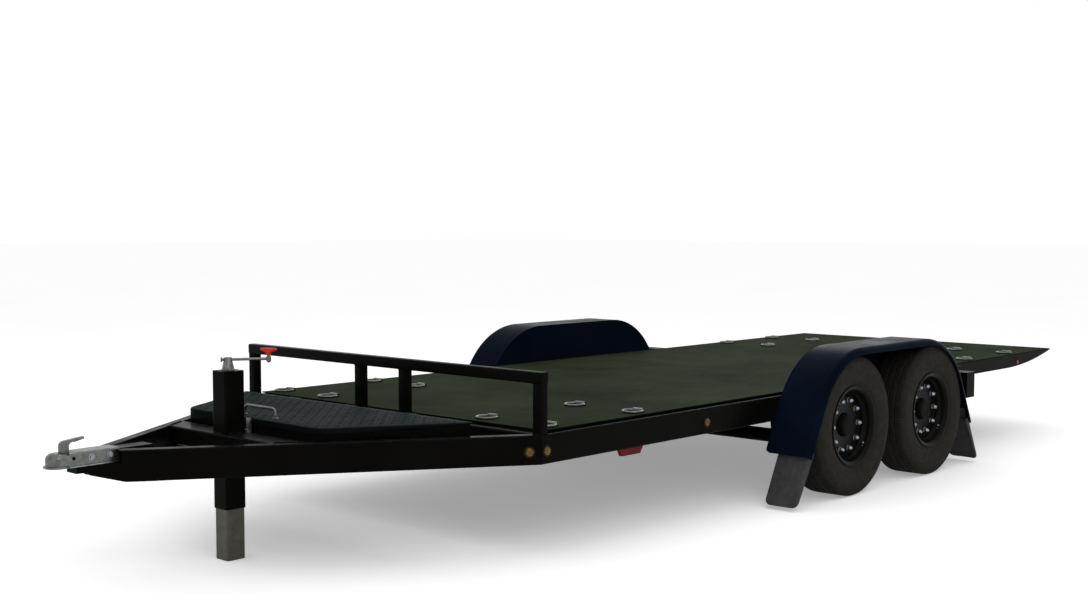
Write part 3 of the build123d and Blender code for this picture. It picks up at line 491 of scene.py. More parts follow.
# On the amber lens the fine mottling runs from dark amber to pale specks; the pale specks are painted glints.
amberLens = mouldedFinish("amber_lens", tone(48, 28, 5), tone(126, 90, 34), gloss=(0.12, 0.24), level=0.14,
                          mottle=95.0, pit=190.0, bump=0.25, coat=0.06)
redLens = mouldedFinish("red_lens", tone(118, 8, 8), tone(150, 14, 12), gloss=(0.12, 0.24), level=0.2,
                        pit=190.0, bump=0.25, coat=0.1)
flapRubber = mouldedFinish("flap_rubber", tone(56, 55, 56), tone(70, 69, 70), gloss=(0.62, 0.8), level=0.06)
tyreRubber = mouldedFinish("tyre_rubber", tone(30, 29, 26), tone(40, 38, 34), gloss=(0.66, 0.86), level=0.06,
                           pit=260.0, bump=0.16)
blackRubber = mouldedFinish("black_rubber", tone(14, 14, 14), tone(24, 23, 22), gloss=(0.5, 0.7), level=0.12)

slotFinish = {
    "black": framePaint, "deck_steel": bedPaint, "tread_plate": lidPaint, "zinc": zincFinish, "steel": steelFinish,
    "galvanised": galvanisedFinish, "red_plastic": redGrip, "red_paint": redPaint, "amber_lens": amberLens,
    "red_lens": redLens, "flap_rubber": flapRubber, "tyre": tyreRubber, "rim_black": rimPaint,
}
slotOf = {part["node"]: part["material_slot"] for part in frame["record"]["subparts"]}
for name, node in nodes.items():
    node.data.materials.clear()
    node.data.materials.append(slotFinish[slotOf[name]])
print("finishes:", len(slotFinish))

# Levels and lines of the frame that the added pieces sit on.
tongueShape = {"noseHalf": 0.090, "flange": 0.050}
railSpan, deckSpan = corners("side_rail_left"), corners("deck_plate")
frameHalf, railTop, railLow = railSpan[1][1], railSpan[1][2], railSpan[0][2]
tail, bedHalf, deckTop = deckSpan[0][0], deckSpan[1][1], deckSpan[1][2]
front, nose = corners("header")[1][0], corners("tongue_rail_left")[1][0]
slope = (frameHalf - tongueShape["noseHalf"]) / (nose - front)
tongueTurn = np.arctan(slope)


def tongueY(x):
    # How far out the tongue rail's face stands, on a straight line from the frame's corner to the nose.
    return frameHalf - (x - front) * slope


tyreShape = {
    "around": 378, "across": 120, "fine": 6000, "bead": 0.2145, "seat": 0.1925, "seatHalf": 0.39,
    "square": 0.12, "pinch": 0.17, "pinchTo": 0.5,
    "ridges": ((0.16, 0.035, 1.0), (0.66, 0.03, 0.7)), "ridgeHigh": 0.022,        # where up the wall, spread, share
    "hollow": (0.42, 0.12), "hollowDeep": 0.012, "ridgeFree": 0.2,
    "grooves": (-0.27, -0.09, 0.09, 0.27), "grooveWide": 0.0095, "grooveDeep": 0.007, "zigzag": 0.0028, "zigzags": 27,
    "notches": 126, "notchDeep": 0.004, "notchPart": 0.34, "notchLead": 0.1, "notchFrom": (0.33, 0.02),
    "notchSide": 0.7, "sipeDeep": 0.002,
    "shoulder": (0.76, 0.06), "crown": 0.9, "tread": 0.95, "shoulderTop": 0.97, "rib": 0.18, "ribHalf": 0.045,
}


def bell(at, middle, spread, power=2):
    # One at the middle, falling off to both sides; a higher power gives a flatter top.
    return np.exp(-((at - middle) / spread) ** power)


def risen(at, start, over):
    # Nothing up to a start, then a straight rise to one.
    return np.clip((at - start) / over, 0, 1)


def tyreSurface(low, high):
    # Section: rise is the root of a sine and reach a low power of its cosine, pinched towards the bead, so the
    # walls bulge and the crown is nearly flat. Grooves and shoulder notches take their depth off the radius.
    s = tyreShape
    wide, big = high[1] - low[1], (high[0] - low[0]) / 2
    t = np.linspace(0, np.pi, s["fine"])
    rise = np.sqrt(np.clip(np.sin(t), 0, 1))
    pinch = 1 - s["pinch"] * (1 - np.clip(rise / s["pinchTo"], 0, 1)) ** 2
    reach = 0.5 * wide * np.sign(np.cos(t)) * np.abs(np.cos(t)) ** s["square"] * pinch
    reach, radius = evenly(joined(reach, s["bead"] + (big - s["bead"]) * rise), s["across"]).T
    part = (radius - s["bead"]) / (big - s["bead"])
    ridge = sum(share * bell(part, at, spread) for at, spread, share in s["ridges"])
    reach = np.clip(reach * (1 + s["ridgeHigh"] * ridge), -0.5 * wide, 0.5 * wide)
    reach = reach * (1 - s["hollowDeep"] * bell(part, *s["hollow"]) * (ridge < s["ridgeFree"]))
    angle = roundAngles(s["around"])[:, None]
    wave = s["zigzag"] * (2 * np.abs((angle * s["zigzags"] / np.pi) % 2 - 1) - 1)
    groove = sum(bell(reach, g * wide + wave, 0.5 * s["grooveWide"], power=4) for g in s["grooves"])
    groove = s["grooveDeep"] * np.clip(groove, 0, 1) * (part > s["crown"])
    phase = (angle * s["notches"] / (2 * np.pi) + s["notchLead"]) % 1
    notch = risen(np.abs(reach) / wide, *s["notchFrom"]) * risen(part, *s["shoulder"])
    notch = s["notchDeep"] * notch * (phase < s["notchPart"])
    ribHalf = s["ribHalf"] * wide
    rib = bell(np.abs(reach), s["rib"] * wide, ribHalf, power=8) + bell(reach, 0, ribHalf, power=8)
    sipe = s["sipeDeep"] * rib * (part > s["tread"]) * (((phase + 0.5) % 1) < s["notchPart"])
    radius = radius - np.maximum(np.maximum(groove, notch), sipe)
    reach = reach - np.sign(reach) * s["notchSide"] * notch * (part < s["shoulderTop"])
    foot = np.ones((s["around"], 1))
    radius = np.concatenate([radius, s["seat"] * foot, s["seat"] * foot], axis=1)
    reach = np.concatenate([reach, -s["seatHalf"] * wide * foot, s["seatHalf"] * wide * foot], axis=1)
    return skin(joined(radius * np.sin(angle), reach, radius * np.cos(angle)) + (low + high) / 2, True)


# Wheel sections are runs of (distance outwards, radius), each measured from the edge that it names.
rimShape = {"face": 0.0315, "steps": 108, "cuts": 2, "section": (
    ("far", ((0.0, 0.2115), (-0.003, 0.2142), (-0.009, 0.2128), (-0.013, 0.193), (-0.038, 0.1895), (-0.054, 0.176))),
    ("near", ((0.074, 0.176), (0.050, 0.1895), (0.013, 0.193), (0.009, 0.2128), (0.003, 0.2142), (0.0, 0.2115),
              (0.005, 0.188), (0.046, 0.1835), (0.070, 0.1705))),
    ("face", ((-0.034, 0.1705), (-0.022, 0.160), (-0.013, 0.138), (-0.012, 0.060), (0.0, 0.060), (0.0, 0.094),
              (0.003, 0.108), (0.003, 0.148), (-0.003, 0.158), (-0.008, 0.166), (0.002, 0.1708))),
    ("far", ((-0.053, 0.1708), (-0.037, 0.184), (-0.012, 0.1875), (-0.004, 0.199))))}
hubShape = {"steps": 72, "section": (
    ("middle", ((0.0185, 0.0), (0.0185, 0.0222))),        # end of the blind bore
    ("near", ((0.0, 0.0222), (0.0, 0.124), (0.004, 0.128), (0.018, 0.128), (0.020, 0.125))),
    ("face", ((-0.0165, 0.125), (-0.0125, 0.121), (-0.0125, 0.059), (0.004, 0.058), (0.007, 0.055), (0.009, 0.054),
              (0.012, 0.053))),
    ("far", ((-0.008, 0.051), (-0.003, 0.047), (-0.001, 0.039), (0.0, 0.023), (0.0, 0.0))))}


def wheelSection(shape, node, out, middle):
    # Each run of a section moved along the axle to its edge, for a wheel that faces out.
    reach = np.sort(np.abs([c[1] for c in corners(node)])) - abs(middle[1])
    edges = {"near": reach[0], "far": reach[1], "face": rimShape["face"], "middle": 0.0}
    return np.concatenate([np.array(run) + [edges[edge], 0] for edge, run in shape["section"]]) * [out, 1]


def rimSurface(node, out, middle):
    # A closed section through flange, drop centre and deep-set disc, its corners cut, swung about the axle.
    section = cutCorners(wheelSection(rimShape, node, out, middle), rimShape["cuts"])
    return turned(section, middle, alongY, rimShape["steps"], True)


def hubSurface(node, out, middle):
    # Stepped outline from the drum's back over the hub to a domed dust cap, with a blind bore for the spindle.
    return turned(wheelSection(hubShape, node, out, middle), middle, alongY, hubShape["steps"])


nutShape = {"count": 10, "ring": 0.134, "across": 0.025, "tall": 0.028, "proud": 0.002, "around": 18,
            "section": ((0.0, 1.2, 0.0), (0.10, 1.2, 0.0), (0.14, 1.0, 1.0), (0.55, 1.0, 1.0), (0.62, 0.94, 0.6),
                        (0.80, 0.82, 0.2), (0.93, 0.55, 0.0), (0.995, 0.16, 0.0))}        # height, girth, hexagon


def wheelNuts(out, middle):
    # A nut's outline goes from a hexagon to a circle as it rises and closes in a dome; ten stand round the disc.
    s = nutShape
    rise, girth, share = np.array(s["section"]).T[:, :, None]
    angle, turn = roundAngles(s["around"]), roundAngles(s["count"])
    six = 1 / np.cos((angle % (np.pi / 3)) - np.pi / 6)
    r = s["across"] / 2 * girth * (share * six + 1 - share)
    nut = skin(joined(r * np.cos(angle), out * rise * s["tall"], r * np.sin(angle)))
    seat = out * (rimShape["face"] + s["proud"])
    return copies(nut, joined(s["ring"] * np.cos(turn), seat, s["ring"] * np.sin(turn)) + middle)


valveShape = {"turn": 222, "foot": (0.182, 0.062), "tip": (0.152, 0.084), "around": 12,        # radius, distance out
              "section": ((0.0, 0.0075), (0.02, 0.0075), (0.16, 0.0062), (0.2, 0.0045), (0.66, 0.0042),
                          (0.68, 0.0052), (0.98, 0.0052), (1.0, 0.003))}


def valveStem(out, middle):
    # A short rod on a line from the barrel's wall towards the axle, thicker at its foot and cap.
    spoke, lean = levelWay(valveShape["turn"])[[0, 2, 1]], out * alongY
    start, end = (middle + r * spoke + lean * y for r, y in (valveShape["foot"], valveShape["tip"]))
    at, girth = np.array(valveShape["section"]).T
    return tube(start + at[:, None] * (end - start), girth, np.cross(spoke, lean), valveShape["around"])


wheelNames = ("front_left", "front_right", "rear_left", "rear_right")
for name in wheelNames:
    out = 1 if name.endswith("left") else -1
    low, high = corners("tyre_" + name)
    middle, body = (low + high) / 2, "wheel_" + name
    place("road_tyre_" + name, tyreSurface(low, high), body, "tyre", ["tyre_" + name], crease=40)
    place("dished_rim_" + name, rimSurface("rim_" + name, out, middle), body, "rim_black", ["rim_" + name], crease=30)
    place("wheel_nuts_" + name, wheelNuts(out, middle), body, "zinc", finish=chromeFinish)
    place("valve_" + name, valveStem(out, middle), body, "zinc")
    place("capped_hub_" + name, hubSurface("hub_" + name, out, middle), body, "black", ["hub_" + name], crease=30)
print("wheels:", len(wheelNames))

fenderShape = {"lean": 0.265, "turn": 0.485, "lip": 0.034, "lipGap": 0.004, "sheet": 0.004, "hem": 0.0045,
               "hemUp": 0.001, "round": 0.022, "along": 260, "flatPoints": 8, "lipPoints": 18, "arcPoints": 60,
               "wallPoints": 6, "hemAround": 10}


def acrossEdges(low, high, out):
    # Inner and outer edge of a piece, both measured out from the middle.
    return (low[1], high[1]) if out > 0 else (-high[1], -low[1])


def archPath(low, high):
    # Side view of the arch: leaning leg, round shoulder, flat crown, and the same again, evenly spaced along it.
    s = fenderShape
    mid, reach = (low[0] + high[0]) / 2, (high[0] - low[0]) / 2
    foot, flat = np.array([reach, low[2]]), np.array([reach - s["lean"], high[2]])
    leg = unit(flat - foot)
    bend = np.arctan2(leg[1], -leg[0])
    centre = np.array([flat[0] - s["turn"] * np.tan(bend / 2), high[2] - s["turn"]])
    a = np.linspace(np.pi / 2 - bend, np.pi / 2, s["arcPoints"])
    arc = centre + s["turn"] * joined(np.cos(a), np.sin(a))
    onward = np.concatenate([foot[None], arc])
    path = evenly(np.concatenate([onward, onward[::-1] * [-1, 1]]), s["along"])
    ahead = unit(np.gradient(path, axis=0))
    return path + [mid, 0], joined(ahead[:, 1], -ahead[:, 0])


def fenderSurface(node, out):
    # A strip with a quarter-round lip at its outer edge, carried along the arch; the second sheet is one thickness
    # in. Below the crown's inner edge a flat wall goes down to the rail, and a round hem follows the lip.
    s = fenderShape
    low, high = corners(node)
    inner, outer = acrossEdges(low, high, out)
    path, normal = archPath(low, high)
    lip, sheet, hem, bend = s["lip"], s["sheet"], s["hem"], s["round"]
    left = bend - np.minimum(path[:, 1] - low[2], bend)
    pull = bend - np.sqrt(np.maximum(bend ** 2 - left ** 2, 0))        # rounds the inner corners of the feet
    a = np.linspace(np.pi / 2, 0, s["lipPoints"])
    plain = np.linspace(inner, outer - lip - s["lipGap"], s["flatPoints"])

    def carried(under):
        across = np.concatenate([plain, outer - lip + (lip - under) * np.cos(a)])
        depth = np.concatenate([np.full(len(plain), -under), (lip - under) * np.sin(a) - lip])
        flat = path[:, None] + depth[None, :, None] * normal[:, None]
        return joined(flat[..., 0], out * np.maximum(across[None], inner + pull[:, None]), flat[..., 1])

    edge = path - (lip - s["hemUp"]) * normal
    edge = joined(edge[:, 0], out * (outer - hem), edge[:, 1])
    held = path[path[:, 1] > railLow]
    drop = np.linspace(0, 1, s["wallPoints"])[None, :]
    z = (held[:, 1] - sheet * 0.5)[:, None] * (1 - drop) + railLow * drop
    wall = [joined(held[:, :1], out * y, z) for y in (inner, inner + sheet)]
    return gathered(twoSheets(carried(0.0), carried(sheet)), tube(edge, hem, alongY, s["hemAround"]), twoSheets(*wall))


flapShape = {
    "in": 0.062, "out": 0.011, "lap": 0.070, "lapOut": 0.001, "lapPoints": 9, "back": 0.020, "drop": 0.003,
    "foot": 0.020, "splay": 0.52, "thick": 0.0088, "round": 0.030, "outerRound": 0.7, "gap": 0.0003,
    "turnTop": 0.040, "turnFoot": 0.020, "points": 20, "footPoints": 9, "footStart": 0.12, "tuck": (0.0036, 0.015),
    # The lap's section: share of its width, and of its thickness.
    "lapSection": ((0, 0.2), (0.03, 0), (0.97, 0), (1, 0.2), (1, 0.8), (0.97, 1), (0.03, 1), (0, 0.8)),
    # The flap's section: share of the inner edge, thicknesses outwards and back, and one along the turned edge.
    "section": ((1, 0, 0.25, 0), (1, 0.25, 0, 0), (0.5, 0, 0, 0), (0, -1.6, 0, 0), (0, -0.7, 0.12, 0),
                (0, -0.12, 0.7, 0), (0, 0, 1.6, 0), (0, 0, -0.25, 1), (0, -0.25, 0, 1), (0, -0.75, 0, 1),
                (0, -1, -0.25, 1), (0, -1, 2.0, 0), (0, -1.3, 1.3, 0), (0, -2.0, 1, 0), (0.5, 0, 1, 0),
                (1, 0.25, 1, 0), (1, 0, 0.75, 0)),
}


def flapSurface(node, out, end):
    # Lap: a flat section carried down the inside of the fender's foot. Flap: an angle section carried down the
    # splayed line, its turned edge growing shallower; at the foot both edges follow a quarter circle in.
    s = flapShape
    low, high = corners(node)
    inner, outer = acrossEdges(low, high, out)
    mid, reach, thick = (low[0] + high[0]) / 2, (high[0] - low[0]) / 2, s["thick"]
    lean = fenderShape["lean"] / (high[2] - low[2])
    face = reach - fenderShape["sheet"] * np.sqrt(1 + lean ** 2) - s["gap"]
    bend = np.array([face - s["back"], low[2] - s["drop"]])
    foot = np.array([bend[0] + s["splay"] * (bend[1] - s["foot"]), s["foot"]])
    y1, y2, lapOut = inner + s["in"], outer - s["out"], outer - fenderShape["lip"] - s["lapOut"]

    def carried(line, across, depth):
        return skin(joined(mid + end * (line[:, :1] - depth), out * across, line[:, 1:]))

    t = np.linspace(0, 1, s["lapPoints"])[:, None]
    share, deep = np.array(s["lapSection"]).T
    top = np.array([face - lean * s["lap"], low[2] + s["lap"]])
    lap = carried(top * (1 - t) + bend * t, y1 + share * (lapOut - y1), deep * thick)

    drop, bow = bend[1] - foot[1], s["round"]
    curve = 1 - bow / drop * (1 - np.sin(np.linspace(s["footStart"], np.pi / 2, s["footPoints"])))
    t = np.concatenate([np.linspace(0, 1 - bow / drop, s["points"]), curve])[:, None]
    left = np.clip(t * drop - (drop - bow), 0, bow)
    pull = bow - np.sqrt(np.maximum(bow ** 2 - left ** 2, 0))
    turn = s["turnTop"] * (1 - t) + s["turnFoot"] * t
    fromInner, outwards, back, atEdge = np.array(s["section"]).T
    across = fromInner * (y1 + pull) + (1 - fromInner) * (y2 - s["outerRound"] * pull) + outwards * thick
    depth = atEdge * turn + back * thick
    line = np.concatenate([[bend + [-s["tuck"][0], s["tuck"][1]]], bend * (1 - t) + foot * t])
    return gathered(lap, carried(line, np.concatenate([across[:1], across]), np.concatenate([depth[:1], depth])))


flaps = []
for side, out in sides:
    node = "fender_" + side
    place("arched_fender_" + side, fenderSurface(node, out), "chassis", "black", [node], crease=40, finish=fenderPaint)
    flaps += [flapSurface(node, out, end) for end in (1, -1)]
place("hung_flaps", gathered(*flaps), "chassis", "flap_rubber", ["mud_flaps"], crease=40)
print("fenders:", len(sides), "flaps:", len(flaps))

ringShape = {"frontRow": 0.141, "rowGap": 0.600, "rearRow": 0.584, "inner": 0.570, "inset": 0.075, "out": 0.052,
             "wire": 0.006, "flat": 0.92, "lift": 0.0004, "points": 40, "around": 10, "strapHalf": 0.028,
             "strapThick": 0.0035, "strapUnder": 0.0003, "strapGap": 0.0012, "bend": (0.0045, 5), "acrossPoints": 5,
             "strap": ((-0.013, 0), (-0.0075, 0), (-0.0075, 1), (0.0075, 1), (0.0075, 0), (0.017, 0))}


def tieRing():
    # A wire carried round a circle that flattens under its strap; the strap is a plate bent over the wire.
    s = ringShape
    a, r = roundAngles(s["points"]), s["out"] - s["wire"]
    saddle, top = -s["flat"] * r, 2 * s["wire"] + s["strapGap"]
    loop = joined(np.maximum(r * np.cos(a), saddle), r * np.sin(a), s["wire"] + s["lift"])
    wire = tube(loop, s["wire"], alongZ, s["around"], True)
    line = bentPath([(saddle + x, 0, z * top) for x, z in s["strap"]], *s["bend"])
    ahead = unit(np.gradient(line, axis=0))
    up = joined(-ahead[:, 2], 0.0, ahead[:, 0])
    across = np.linspace(-1, 1, s["acrossPoints"])[None, :, None] * s["strapHalf"] * alongY
    strap = [(line + lift * up)[:, None] + across for lift in (s["strapThick"], s["strapUnder"])]
    return gathered(wire, twoSheets(*strap))


frontRow, rearRow = front - ringShape["frontRow"], tail + ringShape["rearRow"]
rows = [frontRow, frontRow - ringShape["rowGap"], rearRow + ringShape["rowGap"], rearRow]
columns = [k * y for k in (-1, 1) for y in (bedHalf - ringShape["inset"], ringShape["inner"])]
spots = np.stack(np.meshgrid(rows, columns, [deckTop], indexing="ij"), axis=-1).reshape(-1, 3)
place("lashing_rings", copies(tieRing(), spots), "bed", "zinc", ["tie_rings"], crease=40)
print("lashing rings:", len(spots))

boxLow, boxHigh = corners("tongue_box")
lidShape = {"lap": 0.012, "rearGap": 0.004, "frontHalf": 0.4698, "drop": 0.020, "sheet": 0.003, "plate": 0.0055,
            "deep": 0.005, "edge": 0.006, "corner": 0.060, "rearCorner": 0.006, "hingeCut": 0.012, "cutDown": 0.0005,
            "edgePoints": 5, "underIn": 0.06, "topIn": 0.07}
lidTop = boxHigh[2] + lidShape["plate"]
lidRear, lidFront = boxLow[0] - lidShape["rearGap"], boxHigh[0] + lidShape["lap"]
lidTaper = (boxHigh[1] - lidShape["frontHalf"]) / (boxHigh[0] - boxLow[0])
lidGrow = lidShape["lap"] * np.sqrt(1 + lidTaper ** 2)
lidWide = boxHigh[1] + lidTaper * lidShape["rearGap"] + lidGrow
lidNarrow = lidShape["frontHalf"] - lidTaper * lidShape["lap"] + lidGrow
lidPlan = np.array([(lidRear, -lidWide), (lidFront, -lidNarrow), (lidFront, lidNarrow), (lidRear, lidWide)])


def lidPan():
    # Outlines of the lid stacked from its underside round the skirt's lower edge, up the skirt and over a
    # quarter-round edge to the top; along the hinge side the skirt is cut away.
    s = lidShape
    angle = np.linspace(0, np.pi / 2, s["edgePoints"])
    edge, under, foot = s["edge"], lidTop - s["deep"], boxHigh[2] - s["drop"]
    inset = np.concatenate([[s["underIn"], s["sheet"], s["sheet"], 0.0], edge * (1 - np.cos(angle)), [s["topIn"]]])
    level = np.concatenate([[under, under, foot, foot], lidTop - edge + edge * np.sin(angle), [lidTop]])[:, None]
    ease = [s["rearCorner"], s["corner"], s["corner"], s["rearCorner"]]
    flat = np.stack([outlineLoop(drawnIn(lidPlan, k), ease) for k in inset])
    z = np.where((flat[..., 0] < lidRear + s["hingeCut"]) & (level < under), under - s["cutDown"], level)
    return skin(joined(flat[..., 0], flat[..., 1], z))


hingeShape = {"spots": (-0.42, 0.0, 0.42), "back": 0.014, "down": 0.004, "half": 0.038, "around": 24,
              "leafIn": 0.003, "leafDown": 0.0028, "leafHalf": 0.0022, "leafRound": 0.002, "leafEdge": 0.0008,
              "sleeve": ((-0.038, 0.0052), (-0.038, 0.0082), (-0.0372, 0.009), (0.0372, 0.009), (0.038, 0.0082),
                         (0.038, 0.0052))}


def lidKnuckle(y):
    # A short sleeve on the hinge line with a leaf that reaches to the lid's underside.
    s = hingeShape
    x, z = boxLow[0] - s["back"], boxHigh[2] - s["down"]
    leaf = slab(((x + lidRear) / 2 + s["leafIn"], y, lidTop - s["leafDown"]),
                ((lidRear - x) / 2 + s["leafIn"], s["half"], s["leafHalf"]), s["leafRound"], s["leafEdge"])
    return gathered(turned(s["sleeve"], (x, y, z), alongY, s["around"], True), leaf)


handleShape = {
    "x": boxHigh[0] - 0.045, "half": 0.112, "rise": 0.042, "rod": 0.006, "bend": (0.030, 10), "around": 14,
    "sunk": 0.0005, "footSunk": 0.0002, "footAround": 20,
    "foot": ((0.0, 0.0), (0.0, 0.013), (0.0025, 0.013), (0.004, 0.010), (0.0055, 0.0065), (0.0055, 0.0)),
    "haspHalf": 0.018, "haspLong": 0.070, "haspThick": 0.0018, "haspOut": 0.0022, "haspDown": 0.001,
    "haspRound": 0.007, "haspEdge": 0.0008,
    "stapleDown": 0.050, "stapleHalf": 0.006, "stapleIn": 0.001, "stapleOut": 0.016, "stapleRod": 0.0028,
    "stapleBend": (0.006, 7), "stapleAround": 8,
}
studShape = {"rows": 24, "columns": 30, "pitch": 0.031, "first": 0.012, "long": 0.024, "wide": 0.0085, "around": 8,
             "rings": ((1.0, -0.0004), (0.92, 0.000935), (0.55, 0.001615)),        # share of the size, height
             "rearFree": 0.016, "frontFree": 0.022, "sideFree": 0.024, "cornerFree": 0.035, "footFree": 0.026}


def lidStuds():
    # Lens-shaped studs of the tread plate, turned one way and the other like a weave, on the lid inside its edge.
    s = studShape
    i, j = np.meshgrid(np.arange(1, s["rows"]), np.arange(-s["columns"], s["columns"] + 1), indexing="ij")
    i, j = i.ravel(), j.ravel()
    x, y = lidRear + s["first"] + s["pitch"] * i, s["pitch"] * j
    across = np.abs(y)
    keep = (x > lidRear + s["rearFree"]) & (x < lidFront - s["frontFree"])
    keep &= across < lidWide - lidTaper * (x - lidRear) - s["sideFree"]
    keep &= across + x - lidFront < lidNarrow - s["cornerFree"]
    keep &= np.maximum(np.abs(x - handleShape["x"]), np.abs(across - handleShape["half"])) >= s["footFree"]
    angle = roundAngles(s["around"])
    lens = 0.5 * joined(s["long"] * np.cos(angle), s["wide"] * np.sin(angle), 0.0)
    size, lift = np.array(s["rings"]).T[:, :, None, None]
    way = np.where((i + j) % 2 == 0, 1.0, -1.0)[keep] * np.pi / 4
    c, d, o = np.cos(way), np.sin(way), 0 * way
    turns = np.stack([joined(c, -d, o), joined(d, c, o), joined(o, o, o + 1)], axis=1)
    return copies(skin(lens * size + lift * alongZ), joined(x[keep], y[keep], lidTop), turns)


def lidHandle():
    # A rod bent into a bow with flattened feet, and a plate hasp over the lid's edge with its turned-out staple.
    s = handleShape
    x, h, low = s["x"], s["half"], lidTop - s["stapleDown"]
    bow = bowRod((x, -h, lidTop - s["sunk"]), (x, h, lidTop - s["sunk"]), (0, 0, s["rise"] + s["sunk"]), s["bend"],
                 s["rod"], alongX, s["around"])
    feet = [turned(s["foot"], (x, k * h, lidTop - s["footSunk"]), alongZ, s["footAround"]) for k in (-1, 1)]
    plate = slab((lidFront + s["haspOut"], 0.0, lidTop - s["haspDown"] - s["haspLong"] / 2),
                 (s["haspLong"] / 2, s["haspHalf"], s["haspThick"]), s["haspRound"], s["haspEdge"],
                 (-alongZ, alongY, alongX))
    start, end = ((lidFront + s["stapleIn"], k * s["stapleHalf"], low) for k in (-1, 1))
    staple = bowRod(start, end, (s["stapleOut"], 0, 0), s["stapleBend"], s["stapleRod"], alongZ, s["stapleAround"])
    return gathered(bow, *feet, plate, staple)


place("tread_lid", gathered(lidPan(), *[lidKnuckle(y) for y in hingeShape["spots"]]), "lid", "tread_plate",
      ["box_lid"], crease=40)
place("lid_studs", lidStuds(), "lid", "tread_plate", crease=60)
place("lid_bow", lidHandle(), "lid", "zinc", ["lid_handle"], crease=40)
print("lid: pan, studs, handle")

jackSpan = corners("jack_tube")
jackMid, jackTop = (jackSpan[0] + jackSpan[1]) / 2, jackSpan[1][2]
crankShape = {
    "arm": 0.170, "turn": 145, "height": 0.046, "rod": 0.006, "around": 12, "past": 0.024, "nut": (0.017, 0.007),
    "head": ((0.0, 0.0), (0.0, 0.029), (0.004, 0.029), (0.006, 0.026), (0.010, 0.0255), (0.036, 0.0195),
             (0.038, 0.0185), (0.052, 0.0178), (0.0545, 0.0165), (0.056, 0.012), (0.056, 0.0)),
    "boss": ((-0.011, 0.0), (-0.011, 0.0088), (-0.009, 0.0105), (0.009, 0.0105), (0.011, 0.0088), (0.011, 0.0)),
    "pin": ((-0.016, 0.0), (-0.016, 0.006), (-0.013, 0.0072), (0.016, 0.0072), (0.016, 0.0)),
    "headAround": 40, "bossAround": 20, "pinAround": 16,
}
gripShape = {"turn": 120, "up": 0.012, "around": 36,        # rows in mm: height, half length, half width
             "rows": ((0, 7, 7), (1, 8.4, 8.4), (6, 9.6, 9.2), (11, 12, 9.8), (15.5, 17.5, 10.4), (19, 26, 10.8),
                      (22.5, 34, 11), (27, 38.6, 11), (31, 38.6, 9.6), (33.5, 36, 7), (34.7, 30, 4), (35, 16, 1.5))}
headSpot = np.array([jackMid[0], jackMid[1], jackTop])
crankStart = headSpot + crankShape["height"] * alongZ
crankEnd = crankStart + crankShape["arm"] * levelWay(crankShape["turn"])


def crankSurface():
    # A stepped, tapered head turned about the jack's middle, a straight rod out to a boss with its pin, and a nut.
    s = crankShape
    way = levelWay(s["turn"])
    back = crankStart - s["past"] * way
    head = turned(s["head"], headSpot, alongZ, s["headAround"])
    arm = tube(np.stack([back, crankEnd]), s["rod"], alongZ, s["around"])
    boss, pin = (turned(s[part], crankEnd, alongZ, s[part + "Around"]) for part in ("boss", "pin"))
    return gathered(head, arm, boss, pin, copies(hexHead(*s["nut"]), [back], standing(-way)[None]))


def gripSurface():
    # Ellipses stacked up the pin: round below, flaring into a long cross handle, and closing over its rounded top.
    way = levelWay(gripShape["turn"])
    level, along, over = np.array(gripShape["rows"]).T[:, :, None, None] / 1000
    a = roundAngles(gripShape["around"])[None, :, None]
    rings = along * np.cos(a) * way + over * np.sin(a) * np.cross(alongZ, way)
    return skin(rings + (level + gripShape["up"]) * alongZ + crankEnd)


place("jack_handle", crankSurface(), "chassis", "zinc", ["jack_crank"])
place("red_handle", gripSurface(), "chassis", "red_plastic", ["crank_grip"], crease=40)
print("jack: crank and grip")

lampShape = {"cornerLead": 0.030, "midX": 0.6475, "tongueLead": 0.045, "drop": 0.070, "radius": 0.0185,
             "bulge": 0.014, "sealHigh": 0.006, "sealHalf": 0.0035, "sealPoints": 7, "around": 36,
             "dome": ((0, 0), (0, 1), (0.36, 1), (0.45, 0.96), (0.62, 0.86), (0.66, 0.80), (0.82, 0.62), (0.86, 0.54),
                      (0.97, 0.22), (1, 0))}        # shares of the bulge and of the radius
markShape = {"ahead": 0.540, "radius": 0.014, "bulge": 0.005, "sealHigh": 0.003}
tongueLamp = front + lampShape["tongueLead"]
lampPlan = ((front - lampShape["cornerLead"], frameHalf, 0.0), (lampShape["midX"], frameHalf, 0.0),
            (tongueLamp, tongueY(tongueLamp), tongueTurn))


def lampLens(spot, normal, shape):
    # A low dome with stepped rings, turned about the lamp's axis.
    dome = np.array(lampShape["dome"]) * [shape["bulge"], shape["radius"]]
    return turned(dome, spot, normal, lampShape["around"])


def lampSeal(spot, normal, shape):
    # A rubber ring of half-round section about a lamp.
    a, wall = np.linspace(0, np.pi, lampShape["sealPoints"]), lampShape["sealHalf"]
    section = joined(shape["sealHigh"] * np.sin(a), shape["radius"] + wall - wall * np.cos(a))
    return turned(section, spot, normal, lampShape["around"], True)


markSpan = corners("tail_markers")
markMid = (markSpan[0][2] + markSpan[1][2]) / 2
lamps = [((x, out * y, railTop - lampShape["drop"]), (np.sin(turn), out * np.cos(turn), 0.0), lampShape)
         for _, out in sides for x, y, turn in lampPlan]
marks = [((tail + markShape["ahead"], out * bedHalf, markMid), out * alongY, markShape) for _, out in sides]
place("amber_domes", gathered(*[lampLens(*lamp) for lamp in lamps]), "chassis", "amber_lens",
      ["amber_lamps"], crease=30)
place("lamp_seals", gathered(*[lampSeal(*lamp) for lamp in lamps]), "chassis", "flap_rubber",
      crease=50, finish=blackRubber)
place("tail_marks", gathered(*[lampLens(*mark) for mark in marks]), "bed", "red_lens", ["tail_markers"], crease=30)
place("mark_seals", gathered(*[lampSeal(*mark) for mark in marks]), "bed", "flap_rubber",
      crease=50, finish=blackRubber)

